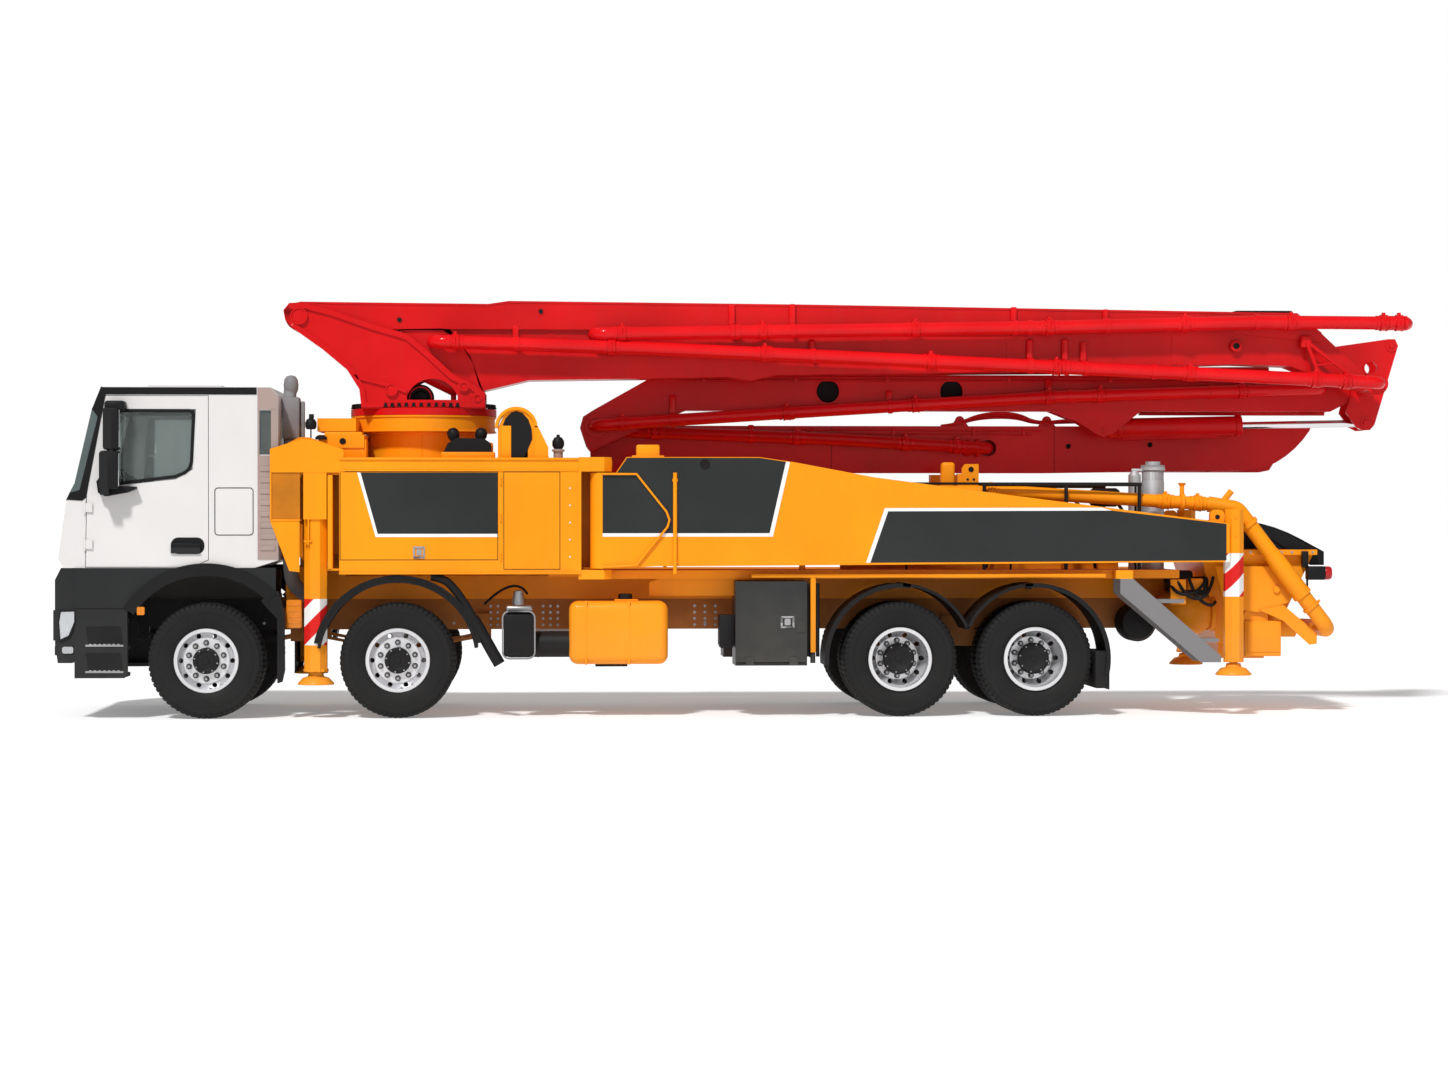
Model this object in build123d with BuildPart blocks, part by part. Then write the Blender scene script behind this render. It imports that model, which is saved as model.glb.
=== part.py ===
"""Concrete pump truck, four axles, five-section boom folded for the road.

Millimetres. The truck drives towards -X, its left side is -Y and +Z is up.
The origin is on the ground under the middle of its bounding box.
"""
from build123d import *
import os
from math import cos, radians, sin

os.makedirs("parts", exist_ok=True)

# Clearances
FIT = 0.3                # pin in its bore, rod in its barrel
RUN = 6.0                # between pieces that pass each other

# Wheels and axles
TYRE_R = 538.0
RIM_R = 286.0            # rim seat of a 22.5 inch wheel
FRONT_TYRE_W = 385.0
REAR_TYRE_W = 315.0
TWIN_GAP = 30.0
TRUCK_HALF_W = 1250.0
AXLE_X = (-5067.0, -3299.0, 1393.0, 2670.0)
KINGPIN_Y = 900.0
KINGPIN_R = 30.0
STUB_R = 55.0            # stub axle that the hub turns on
BEAM_HALF_H = 60.0

# Chassis
RAIL_Y = 430.0           # outer face of a chassis rail
RAIL_W = 80.0
RAIL_Z0 = 800.0
RAIL_Z1 = 1090.0
RAIL_X0 = -5900.0
RAIL_X1 = 4330.0
SUB_Z1 = 1310.0          # top of the subframe that the pump body stands on
SUB_RAIL_OUT = RAIL_Y

# Cab
CAB_HALF_W = 1215.0
CAB_WALL = 50.0
CAB_BACK_X = -4403.0
CAB_ROOF_Z = 3077.0
CAB_FLOOR_Z = 1400.0
DOOR_GAP = 6.0
DOOR_THICK = 45.0

# Support frame and pedestal
SIDE_INNER_Y = 850.0
SIDE_OUTER_Y = 1245.0
SLEW_X = -3100.0
RING_R = 700.0
RING_Z = 2840.0          # plane in which the turret turns on the pedestal
DISC_TOP_Z = 2905.0
HOUSING_X0 = -4390.0
HOUSING_X1 = -3850.0
HOUSING_Z0 = 2263.0
HOUSING_Z1 = 2520.0

# Front legs: side by side beams that slide out, the left one behind the right one
LEG_BEAM_W = 190.0
LEG_BEAM_Z0 = 2300.0
LEG_BEAM_Z1 = 2490.0
FRONT_LEG_X = {"left": -4062.0, "right": -4268.0}
FRONT_JACK_Y = 1120.0
FRONT_JACK_R = 105.0
FRONT_FOOT_Z = 312.0

# Rear legs: they swing out about a post beside the cupboards
REAR_HINGE_X = -1400.0
REAR_HINGE_Y = 1130.0
REAR_LEG_HALF_W = 110.0
REAR_JACK_X = 4572.0
REAR_JACK_R = 88.0
REAR_FOOT_Z = 374.0

# Lanes of the boom across the truck, from the driver's side to the far side
PIPE_R = 64.0
ARM1_PIPE_Y = -655.0
ARM1_Y = (-530.0, -80.0)
TURRET_PLATE = 32.0
ARM2_PIPE_Y = 3.0
ARM2_PIPE_R = 60.0
ARM2_Y = (115.0, 345.0)
ARM3_PIPE_Y = 422.0
ARM3_Y = (500.0, 700.0)
TIP_Y = (718.0, 880.0)   # arms 4 and 5, one above the other
TIP_PIPE_Y = 940.0
TIP_PIPE_R = 52.0

# Boom hinges, as X and Z in the folded boom
LIFT_PIVOT = (-4257.0, 3775.0)
HINGE_12 = (6110.0, 3165.0)
HINGE_23 = (-1430.0, 2762.0)
HINGE_34 = (5420.0, 2630.0)
HINGE_45 = (-750.0, 2560.0)
PIN_12_R = 75.0
PIN_23_R = 60.0
PIN_34_R = 50.0
PIN_45_R = 40.0

# Cylinders
LIFT_FOOT = (-2698.0, 3070.0)
LIFT_EYE = (-3764.0, 3588.0)
LIFT_BARREL_L = 900.0
LIFT_BARREL_R = 88.0
LIFT_ROD_R = 50.0
LIFT_ROD_L = 1010.0
CYL2_FOOT = (3554.0, 2745.0)
CYL2_EYE = (6150.0, 2800.0)
CYL2_BARREL_L = 1364.0
CYL2_BARREL_R = 96.0
CYL2_ROD_R = 36.0
CYL2_ROD_L = 1500.0
EYE_PIN_R = 38.0


def side_plane(y):
    """Plane parallel to the truck's side at this y; it extrudes towards -Y."""
    return Plane.XZ.offset(-y)


def block(x0, x1, y0, y1, z0, z1, mode=Mode.ADD):
    """Box between two corners."""
    with Locations(((x0 + x1) / 2, (y0 + y1) / 2, (z0 + z1) / 2)):
        Box(x1 - x0, y1 - y0, z1 - z0, mode=mode)


def post(x, y, z0, z1, r, mode=Mode.ADD):
    """Upright round bar."""
    with Locations((x, y, (z0 + z1) / 2)):
        Cylinder(r, z1 - z0, mode=mode)


def cross_bar(x, z, y0, y1, r, mode=Mode.ADD):
    """Round bar across the truck."""
    with Locations((x, (y0 + y1) / 2, z)):
        Cylinder(r, y1 - y0, rotation=(90, 0, 0), mode=mode)


def long_bar(y, z, x0, x1, r, mode=Mode.ADD):
    """Round bar along the truck."""
    with Locations(((x0 + x1) / 2, y, z)):
        Cylinder(r, x1 - x0, rotation=(0, 90, 0), mode=mode)


def slab(outline, y0, y1, mode=Mode.ADD):
    """Flat plate with this side outline, from y0 to y1."""
    with BuildSketch(side_plane(y1)) as shape:
        with BuildLine():
            Polyline(*outline, close=True)
        make_face()
    extrude(shape.sketch, amount=y1 - y0, mode=mode)


def layer(outline, z0, z1, mode=Mode.ADD):
    """Flat plate with this plan outline, from z0 to z1."""
    with BuildSketch(Plane.XY.offset(z0)) as shape:
        with BuildLine():
            Polyline(*outline, close=True)
        make_face()
    extrude(shape.sketch, amount=z1 - z0, mode=mode)


def pipe_run(route, radius, bend, mode=Mode.ADD):
    """Pipe of straight runs with rounded bends along a route of points."""
    with BuildLine() as path:
        if len(route) > 2:
            FilletPolyline(*route, radius=bend)
        else:
            Line(*route)
    with BuildSketch(path.line ^ 0) as section:
        Circle(radius)
    sweep(section.sketch, path=path.line, mode=mode)


def save(piece, name):
    """Label a finished piece and write its own file."""
    piece.label = name
    export_step(piece, f"parts/{name}.step")


SIDES = {"left": -1, "right": 1}


# Chassis frame: two rails, cross members, leaf springs and their hangers
SPRING_Y = RAIL_Y + 10
SPRING_W = 80.0
SPRING_T = 60.0
FRONT_SPRING_HALF = 780.0
AXLE_Z = TYRE_R
SPRING_SEAT_Z = AXLE_Z + BEAM_HALF_H

with BuildPart() as chassis_frame:
    for side in SIDES.values():
        inner = side * (RAIL_Y - RAIL_W)
        outer = side * RAIL_Y
        y0 = min(inner, outer)
        y1 = max(inner, outer)
        slab([(RAIL_X0, RAIL_Z0 + 120), (RAIL_X0 + 300, RAIL_Z0), (RAIL_X1, RAIL_Z0),
              (RAIL_X1, RAIL_Z1), (RAIL_X0, RAIL_Z1)], y0, y1)
        for x in AXLE_X[:2]:
            with BuildSketch(side_plane(side * SPRING_Y + SPRING_W / 2)):
                with BuildLine():
                    ThreePointArc((x - FRONT_SPRING_HALF, RAIL_Z0 - 40), (x, SPRING_SEAT_Z + SPRING_T),
                                  (x + FRONT_SPRING_HALF, RAIL_Z0 - 40))
                    Line((x + FRONT_SPRING_HALF, RAIL_Z0 - 40), (x + FRONT_SPRING_HALF, RAIL_Z0 - 75))
                    Polyline((x + FRONT_SPRING_HALF, RAIL_Z0 - 75), (x + 90, SPRING_SEAT_Z),
                             (x - 90, SPRING_SEAT_Z), (x - FRONT_SPRING_HALF, RAIL_Z0 - 75))
                    Line((x - FRONT_SPRING_HALF, RAIL_Z0 - 75), (x - FRONT_SPRING_HALF, RAIL_Z0 - 40))
                make_face()
            extrude(amount=SPRING_W)
            for end in (x - FRONT_SPRING_HALF, x + FRONT_SPRING_HALF):
                block(end - 60, end + 60, side * SPRING_Y - SPRING_W / 2, side * SPRING_Y + SPRING_W / 2,
                      RAIL_Z0 - 110, RAIL_Z0 + 150)
        middle = (AXLE_X[2] + AXLE_X[3]) / 2
        reach = (AXLE_X[3] - AXLE_X[2]) / 2
        slab([(middle - reach - 130, AXLE_Z + 95), (middle + reach + 130, AXLE_Z + 95),
              (middle + reach + 130, AXLE_Z + 130), (middle + 160, RAIL_Z0 - 20),
              (middle + 160, RAIL_Z0 + 120), (middle - 160, RAIL_Z0 + 120),
              (middle - 160, RAIL_Z0 - 20), (middle - reach - 130, AXLE_Z + 130)],
             side * SPRING_Y - SPRING_W / 2, side * SPRING_Y + SPRING_W / 2)
    for x in (-5780, -4100, -2400, -900, 600, 2030, 3300, 4250):
        block(x - 50, x + 50, -RAIL_Y + RAIL_W, RAIL_Y - RAIL_W, RAIL_Z0 + 150, RAIL_Z1 - 20)
save(chassis_frame.part, "chassis_frame")

with BuildPart() as engine_block:
    block(-5700, -4500, -330, 330, 860, 1360)
    block(-4500, -3600, -220, 220, 800, 880)
    for x in (-5300, -4700):
        block(x - 40, x + 40, -RAIL_Y + RAIL_W + FIT, RAIL_Y - RAIL_W - FIT, 900, 980)
save(engine_block.part, "engine_block")

# Front axle beams: dropped beams with an eye for the kingpin at each end
EYE_R = 62.0
EYE_HALF_H = 85.0
with BuildPart() as front_axles:
    for x in AXLE_X[:2]:
        block(x - 55, x + 55, -KINGPIN_Y, KINGPIN_Y, AXLE_Z - BEAM_HALF_H, AXLE_Z + BEAM_HALF_H)
        block(x - 56, x + 56, -560, 560, AXLE_Z - BEAM_HALF_H + 25, AXLE_Z + BEAM_HALF_H - 25)
        for side in SIDES.values():
            post(x, side * KINGPIN_Y, AXLE_Z - EYE_HALF_H, AXLE_Z + EYE_HALF_H, EYE_R)
            post(x, side * KINGPIN_Y, AXLE_Z - 200, AXLE_Z + 200, KINGPIN_R + FIT, Mode.SUBTRACT)
save(front_axles.part, "front_axles")

# Rear axles: tube, round differential housing and brake flanges
HUB_FACE_Y = 560.0       # inner end of a rear hub
REAR_STUB_END_Y = TRUCK_HALF_W - 190
with BuildPart() as rear_axles:
    for x in AXLE_X[2:]:
        cross_bar(x, AXLE_Z, -HUB_FACE_Y - 20, HUB_FACE_Y + 20, 95)
        cross_bar(x, AXLE_Z, -REAR_STUB_END_Y, REAR_STUB_END_Y, STUB_R)
        with BuildSketch(Plane.YZ.offset(x - 190)):
            with Locations((0, AXLE_Z)):
                Circle(130)
        with BuildSketch(Plane.YZ.offset(x)):
            with Locations((0, AXLE_Z)):
                Circle(230)
        with BuildSketch(Plane.YZ.offset(x + 190)):
            with Locations((0, AXLE_Z)):
                Circle(130)
        loft(ruled=True)
save(rear_axles.part, "rear_axles")

# Knuckles: fork round the beam's eye, kingpin, stub axle and steering arm
FRONT_WHEEL_Y = TRUCK_HALF_W - FRONT_TYRE_W / 2
STUB_END_Y = TRUCK_HALF_W - 60
for axle, axle_x in enumerate(AXLE_X[:2], start=1):
    for side_name, side in SIDES.items():
        with BuildPart() as knuckle:
            for z in (AXLE_Z - EYE_HALF_H - RUN - 35, AXLE_Z + EYE_HALF_H + RUN):
                y_fork = sorted((side * (KINGPIN_Y - 55), side * (KINGPIN_Y + 100)))
                block(axle_x - 55, axle_x + 55, y_fork[0], y_fork[1], z, z + 35)
            y_back = sorted((side * (KINGPIN_Y + EYE_R + RUN), side * (KINGPIN_Y + 100)))
            block(axle_x - 55, axle_x + 55, y_back[0], y_back[1],
                  AXLE_Z - EYE_HALF_H - RUN - 35, AXLE_Z + EYE_HALF_H + RUN + 35)
            post(axle_x, side * KINGPIN_Y, AXLE_Z - EYE_HALF_H - RUN - 20,
                 AXLE_Z + EYE_HALF_H + RUN + 20, KINGPIN_R)
            y_stub = sorted((side * (KINGPIN_Y + 80), side * STUB_END_Y))
            cross_bar(axle_x, AXLE_Z, y_stub[0], y_stub[1], STUB_R)
            y_arm = sorted((side * (KINGPIN_Y - 130), side * (KINGPIN_Y - 40)))
            block(axle_x - 55, axle_x + 30, y_arm[0], y_arm[1],
                  AXLE_Z - EYE_HALF_H - RUN - 35, AXLE_Z - EYE_HALF_H - RUN)
        save(knuckle.part, f"knuckle_{axle}_{side_name}")


def tyre_solid(middle, width):
    """One tyre: flat tread, rounded shoulders, bulged side walls and an open middle."""
    half = width / 2
    with BuildSketch(Plane((0, middle, 0))) as shape:
        with BuildLine():
            Polyline((RIM_R, half - 45), (RIM_R, -half + 45))
            Line((RIM_R, -half + 45), (RIM_R + 30, -half + 22))
            ThreePointArc((RIM_R + 30, -half + 22), (RIM_R + 120, -half), (TYRE_R - 45, -half + 14))
            Line((TYRE_R - 45, -half + 14), (TYRE_R - 8, -half + 38))
            Line((TYRE_R - 8, -half + 38), (TYRE_R, -half + 70))
            Line((TYRE_R, -half + 70), (TYRE_R, half - 70))
            Line((TYRE_R, half - 70), (TYRE_R - 8, half - 38))
            Line((TYRE_R - 8, half - 38), (TYRE_R - 45, half - 14))
            ThreePointArc((TYRE_R - 45, half - 14), (RIM_R + 120, half), (RIM_R + 30, half - 22))
            Line((RIM_R + 30, half - 22), (RIM_R, half - 45))
        make_face()
    revolve(shape.sketch, axis=Axis.Y)


def turned(points):
    """Turn a half section, given as radius and place along the axle, about the axle."""
    with BuildSketch(Plane.XY) as shape:
        with BuildLine():
            Polyline(*points, close=True)
        make_face()
    revolve(shape.sketch, axis=Axis.Y)


# Wheels are modelled about the Y axis with the outer face at y = 0 and the truck towards -Y
BARREL_R = RIM_R - FIT
BARREL_IN = BARREL_R - 18
HUB_R = 120.0
HAND_HOLES = 10
BORE_R = STUB_R + FIT
FRONT_RIM = [(BARREL_R, -35), (BARREL_R, -350), (BARREL_IN, -350), (BARREL_IN, -125), (215, -100),
             (205, -85), (150, -85), (150, -200), (BORE_R, -200), (BORE_R, -45), (0, -45), (0, -5),
             (HUB_R - 20, -5), (HUB_R, -25), (HUB_R, -55), (210, -55), (228, -75), (BARREL_IN, -100),
             (BARREL_IN, -35)]
TWIN_MID = REAR_TYRE_W + TWIN_GAP / 2
REAR_HUB_R = 146.0
REAR_RIM = [(BARREL_R, -20), (BARREL_R, -295), (BARREL_IN, -295), (BARREL_IN, -235), (212, -TWIN_MID),
            (BARREL_IN, -425), (BARREL_IN, -365), (BARREL_R, -365), (BARREL_R, -640),
            (BARREL_IN, -640), (BARREL_IN, -445), (200, -350), (150, -350), (150, -640),
            (BORE_R, -640), (BORE_R, -180), (0, -180), (0, -150), (REAR_HUB_R - 26, -150),
            (REAR_HUB_R, -175), (REAR_HUB_R, -312), (200, -312), (BARREL_IN, -215), (BARREL_IN, -20)]

with BuildPart() as front_tyre:
    tyre_solid(-FRONT_TYRE_W / 2, FRONT_TYRE_W)
with BuildPart() as rear_tyres:
    tyre_solid(-REAR_TYRE_W / 2, REAR_TYRE_W)
    tyre_solid(-REAR_TYRE_W * 1.5 - TWIN_GAP, REAR_TYRE_W)
with BuildPart() as front_rim:
    turned(FRONT_RIM)
    with BuildSketch(Plane.XZ):
        with PolarLocations(238, HAND_HOLES):
            RegularPolygon(24, 8)
    extrude(amount=150, mode=Mode.SUBTRACT)
with BuildPart() as rear_rims:
    turned(REAR_RIM)
    with BuildSketch(Plane.XZ):
        with PolarLocations(228, HAND_HOLES):
            RegularPolygon(24, 8)
    extrude(amount=-600, both=True, mode=Mode.SUBTRACT)

for number, x in enumerate(AXLE_X, start=1):
    for side_name, side in SIDES.items():
        turn = 0 if side > 0 else 180
        place = Location((x, side * TRUCK_HALF_W, AXLE_Z), (0, 0, turn))
        tyres = front_tyre if number < 3 else rear_tyres
        rims = front_rim if number < 3 else rear_rims
        save(tyres.part.moved(place), f"tyre_{number}_{side_name}")
        save(rims.part.moved(place), f"rim_{number}_{side_name}")

# Cab shell: hollow, with a floor, windscreen, side and door openings cut through the walls
CAB_SIDE = [(-6375, CAB_FLOOR_Z), (-6425, 1480), (-6348, 2029), (-6273, 2160), (-6105, 2880),
            (-6021, CAB_ROOF_Z), (-4480, CAB_ROOF_Z), (CAB_BACK_X, 3000), (CAB_BACK_X, 1470),
            (-4620, CAB_FLOOR_Z)]
DOOR_SIDE = [(-6172, 1410), (-6160, 2076), (-6030, 2992), (-5048, 2992), (-5048, 1475), (-5200, 1410)]
DOOR_WINDOW = [(-5900, 2871), (-5160, 2871), (-5190, 2310), (-5345, 2220), (-5880, 2165), (-5935, 2200)]
CAB_Y = {"left": (-CAB_HALF_W, -CAB_HALF_W + DOOR_THICK), "right": (CAB_HALF_W - DOOR_THICK, CAB_HALF_W)}
DOOR_HINGE_X = -6178.0
DOOR_HINGE_Y = 1227.0
DOOR_HINGE_Z = (1560.0, 1900.0)
HINGE_H = 120.0
HINGE_LUG = 18.0
HINGE_PIN_R = 8.0
SCREEN_HALF_W = 1040.0
SCREEN_Z0 = 2180.0
SCREEN_Z1 = 2865.0

with BuildPart() as cab_shell:
    slab(CAB_SIDE, -CAB_HALF_W, CAB_HALF_W)
    with BuildSketch(side_plane(CAB_HALF_W - CAB_WALL)) as hollow:
        with BuildLine():
            Polyline(*CAB_SIDE, close=True)
        make_face()
        offset(amount=-CAB_WALL, kind=Kind.INTERSECTION, mode=Mode.REPLACE)
    extrude(hollow.sketch, amount=2 * (CAB_HALF_W - CAB_WALL), mode=Mode.SUBTRACT)
    for y1 in (CAB_HALF_W + 10, -CAB_HALF_W + CAB_WALL):
        with BuildSketch(side_plane(y1)) as doorway:
            with BuildLine():
                Polyline(*DOOR_SIDE, close=True)
            make_face()
            offset(amount=DOOR_GAP, kind=Kind.INTERSECTION, mode=Mode.REPLACE)
        extrude(doorway.sketch, amount=CAB_WALL + 10, mode=Mode.SUBTRACT)
    block(-6400, -6000, -SCREEN_HALF_W, SCREEN_HALF_W, SCREEN_Z0, SCREEN_Z1, Mode.SUBTRACT)
    block(-4600, -4300, -800, 800, 2250, 2800, Mode.SUBTRACT)
    block(-4575, -4465, -CAB_HALF_W - 10, CAB_HALF_W + 10, 2450, 2860, Mode.SUBTRACT)
    block(-5700, -5000, -400, 400, CAB_ROOF_Z - 10, CAB_ROOF_Z + 45)
    for side in SIDES.values():
        lug_y = sorted((side * (CAB_HALF_W - 10), side * (DOOR_HINGE_Y + HINGE_PIN_R)))
        for z in DOOR_HINGE_Z:
            for lug_z in (z, z + HINGE_H - HINGE_LUG):
                block(DOOR_HINGE_X - 14, DOOR_HINGE_X + 6, lug_y[0], lug_y[1], lug_z, lug_z + HINGE_LUG)
            post(DOOR_HINGE_X, side * DOOR_HINGE_Y, z + 1, z + HINGE_H - 1, HINGE_PIN_R)
save(cab_shell.part, "cab_shell")

# Glazing: windscreen that leans with the front wall, rear window and the two small side panes
GLASS = 12.0
SCREEN_LEAN = (6273 - 6105) / (2880 - 2160)
with BuildPart() as cab_windows:
    screen_x0 = -6273 + (SCREEN_Z0 - 2160) * SCREEN_LEAN
    screen_x1 = -6273 + (SCREEN_Z1 - 2160) * SCREEN_LEAN
    slab([(screen_x0 + 8, SCREEN_Z0 + 1), (screen_x0 + 8 + GLASS, SCREEN_Z0 + 1),
          (screen_x1 + 8 + GLASS, SCREEN_Z1 - 1), (screen_x1 + 8, SCREEN_Z1 - 1)],
         -SCREEN_HALF_W + FIT, SCREEN_HALF_W - FIT)
    block(CAB_BACK_X - 30, CAB_BACK_X - 30 + GLASS, -800 + FIT, 800 - FIT, 2250 + FIT, 2800 - FIT)
    for side in SIDES.values():
        pane_y = sorted((side * (CAB_HALF_W - 30), side * (CAB_HALF_W - 30 + GLASS)))
        block(-4575 + FIT, -4465 - FIT, pane_y[0], pane_y[1], 2450 + FIT, 2860 - FIT)
save(cab_windows.part, "cab_windows")

# Doors: a panel as thick as the wall, window cut, handle, and the mirrors on their arms
MIRROR_Y = (1290.0, 1450.0)
for side_name, side in SIDES.items():
    with BuildPart() as cab_door:
        y0, y1 = CAB_Y[side_name]
        slab(DOOR_SIDE, y0, y1)
        slab(DOOR_WINDOW, y0 - 10, y1 + 10, Mode.SUBTRACT)
        for z in DOOR_HINGE_Z:
            z0 = z + HINGE_LUG + FIT
            z1 = z + HINGE_H - HINGE_LUG - FIT
            strap_y = sorted((side * (CAB_HALF_W - 1), side * (DOOR_HINGE_Y + 8)))
            block(DOOR_HINGE_X + 16, DOOR_HINGE_X + 70, strap_y[0], strap_y[1], z0, z1)
            neck_y = sorted((side * (CAB_HALF_W + 2), side * (DOOR_HINGE_Y + 8)))
            block(DOOR_HINGE_X + 9, DOOR_HINGE_X + 17, neck_y[0], neck_y[1], z0, z1)
            post(DOOR_HINGE_X, side * DOOR_HINGE_Y, z0, z1, 11)
            post(DOOR_HINGE_X, side * DOOR_HINGE_Y, z0 - 1, z1 + 1, HINGE_PIN_R + FIT, Mode.SUBTRACT)
        handle_y = sorted((side * CAB_HALF_W, side * (CAB_HALF_W + 22)))
        block(-5390, -5120, handle_y[0], handle_y[1], 1535, 1590)
        mirror_y = sorted((side * MIRROR_Y[0], side * MIRROR_Y[1]))
        upper_arm_y = sorted((side * CAB_HALF_W, side * (MIRROR_Y[1] - 40)))
        lower_arm_y = sorted((side * (CAB_HALF_W + 2), side * MIRROR_Y[1]))
        block(-5975, -5905, mirror_y[0], mirror_y[1], 2500, 2870)
        block(-6010, -5940, mirror_y[0], mirror_y[1], 2140, 2470)
        block(-5960, -5920, upper_arm_y[0], upper_arm_y[1], 2865, 2930)
        block(-6010, -5930, lower_arm_y[0], lower_arm_y[1], 2075, 2145)
        post(-5945, side * (MIRROR_Y[0] + 60), 2090, 2900, 14)
    save(cab_door.part, f"cab_door_{side_name}")

# Inside the cab: two seats, bunk wall, dash and steering wheel
SEAT_FLOOR_Z = CAB_FLOOR_Z + CAB_WALL + FIT
with BuildPart() as cab_interior:
    for side in SIDES.values():
        seat_y = side * 620
        block(-5450, -5050, seat_y - 180, seat_y + 180, SEAT_FLOOR_Z, SEAT_FLOOR_Z + 330)
        block(-5560, -5000, seat_y - 250, seat_y + 250, SEAT_FLOOR_Z + 330, SEAT_FLOOR_Z + 450)
        slab([(-5120, SEAT_FLOOR_Z + 440), (-4990, SEAT_FLOOR_Z + 440), (-4870, SEAT_FLOOR_Z + 1080),
              (-4960, SEAT_FLOOR_Z + 1080)], seat_y - 240, seat_y + 240)
        block(-4960, -4870, seat_y - 140, seat_y + 140, SEAT_FLOOR_Z + 1070, SEAT_FLOOR_Z + 1290)
    slab([(-6150, SEAT_FLOOR_Z), (-5960, SEAT_FLOOR_Z), (-5900, SEAT_FLOOR_Z + 560),
          (-5960, SEAT_FLOOR_Z + 700), (-6180, SEAT_FLOOR_Z + 680)], -1100, 1100)
    with BuildSketch(Plane((-5950, -620, SEAT_FLOOR_Z + 690), z_dir=(0.55, 0, 0.83))) as column:
        Circle(30)
    extrude(column.sketch, amount=130)
    with BuildSketch(Plane((-5878, -620, SEAT_FLOOR_Z + 798), z_dir=(0.55, 0, 0.83))) as wheel:
        Circle(225)
        Circle(190, mode=Mode.SUBTRACT)
        Rectangle(60, 400)
    extrude(wheel.sketch, amount=28)
save(cab_interior.part, "cab_interior")

# Bumper, lower cab panels, lamps and steps; open behind each step for the steered wheel
with BuildPart() as front_bumper:
    slab([(-6430, 520), (-6455, 700), (-6455, 1290), (-6400, CAB_FLOOR_Z - FIT), (-6270, CAB_FLOOR_Z - FIT),
          (-6270, 560), (-6300, 520)], -CAB_HALF_W, CAB_HALF_W)
    block(-6270, -5900, -RAIL_Y + RAIL_W + 5, RAIL_Y - RAIL_W - 5, 860, 1060)
    for side in SIDES.values():
        step_y = sorted((side * 930, side * (CAB_HALF_W + 15)))
        panel_y = sorted((side * (CAB_HALF_W - 40), side * (CAB_HALF_W + 15)))
        slab([(-6275, 520), (-6275, CAB_FLOOR_Z - FIT), (-4426, CAB_FLOOR_Z - FIT), (-4426, 1150),
              (-4520, 1240), (-4800, 1330), (-5330, 1330), (-5600, 1230), (-5790, 1040), (-5790, 980)],
             panel_y[0], panel_y[1])
        slab([(-6275, 380), (-5820, 380), (-5790, 430), (-5790, 990), (-6275, 990)], panel_y[0], panel_y[1])
        for z in (390, 640, 890):
            block(-6275, -5800, step_y[0], step_y[1], z, z + 35)
        block(-6275, -6230, step_y[0], step_y[1], 380, 990)
        lamp_y = sorted((side * 830, side * (CAB_HALF_W + 8)))
        block(-6470, -6380, lamp_y[0], lamp_y[1], 730, 1010)
        block(-6464, -6380, lamp_y[0] + 60, lamp_y[1] - 60, 590, 680)
        flap_y = sorted((side * 850, side * (CAB_HALF_W + 15)))
        stay_y = sorted((side * (RAIL_Y + FIT), side * 860))
        block(-4412, -4396, flap_y[0], flap_y[1], 330, 1160)
        block(-4440, -4396, stay_y[0], stay_y[1], 1010, 1080)
        block(-4430, -4400, panel_y[0], panel_y[1], 1100, 1180)
save(front_bumper.part, "front_bumper")

# Mudguards of the second axle and of the rear axles: arched bands with brackets to the rails
GUARD_R = 750.0
GUARD_T = 14.0


def guard_band(x, y0, y1, angle0, angle1, radius=GUARD_R):
    """Arched band about an axle, between two angles measured from +X towards +Z."""
    points = {}
    for name, r in (("out", radius), ("in", radius - GUARD_T)):
        for angle in (angle0, (angle0 + angle1) / 2, angle1):
            points[name, angle] = (x + r * cos(radians(angle)), AXLE_Z + r * sin(radians(angle)))
    middle = (angle0 + angle1) / 2
    with BuildSketch(side_plane(y1)) as band:
        with BuildLine():
            ThreePointArc(points["out", angle0], points["out", middle], points["out", angle1])
            Line(points["out", angle1], points["in", angle1])
            ThreePointArc(points["in", angle1], points["in", middle], points["in", angle0])
            Line(points["in", angle0], points["out", angle0])
        make_face()
    extrude(band.sketch, amount=y1 - y0)


with BuildPart() as mudguards:
    for side in SIDES.values():
        y0, y1 = sorted((side * 860, side * 1240))
        guard_band(AXLE_X[1], y0, y1, 20, 143, 745)
        bracket_y = sorted((side * (SUB_RAIL_OUT + FIT), side * 870))
        block(AXLE_X[1] - 20, AXLE_X[1] + 20, bracket_y[0], bracket_y[1], 1250, 1282)
        y0, y1 = sorted((side * 590, side * 1240))
        guard_band(AXLE_X[2], y0, y1, 82, 185, 700)
        guard_band(AXLE_X[3], y0, y1, -12, 98, 700)
        bracket_y = sorted((side * (SUB_RAIL_OUT + FIT), side * 600))
        for x in (AXLE_X[2] - 40, AXLE_X[3] + 40):
            block(x - 20, x + 20, bracket_y[0], bracket_y[1], 1180, 1235)
        flap_x = AXLE_X[3] + 700
        block(flap_x - 15, flap_x, y0, y1, 250, 400)
save(mudguards.part, "mudguards")

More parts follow.
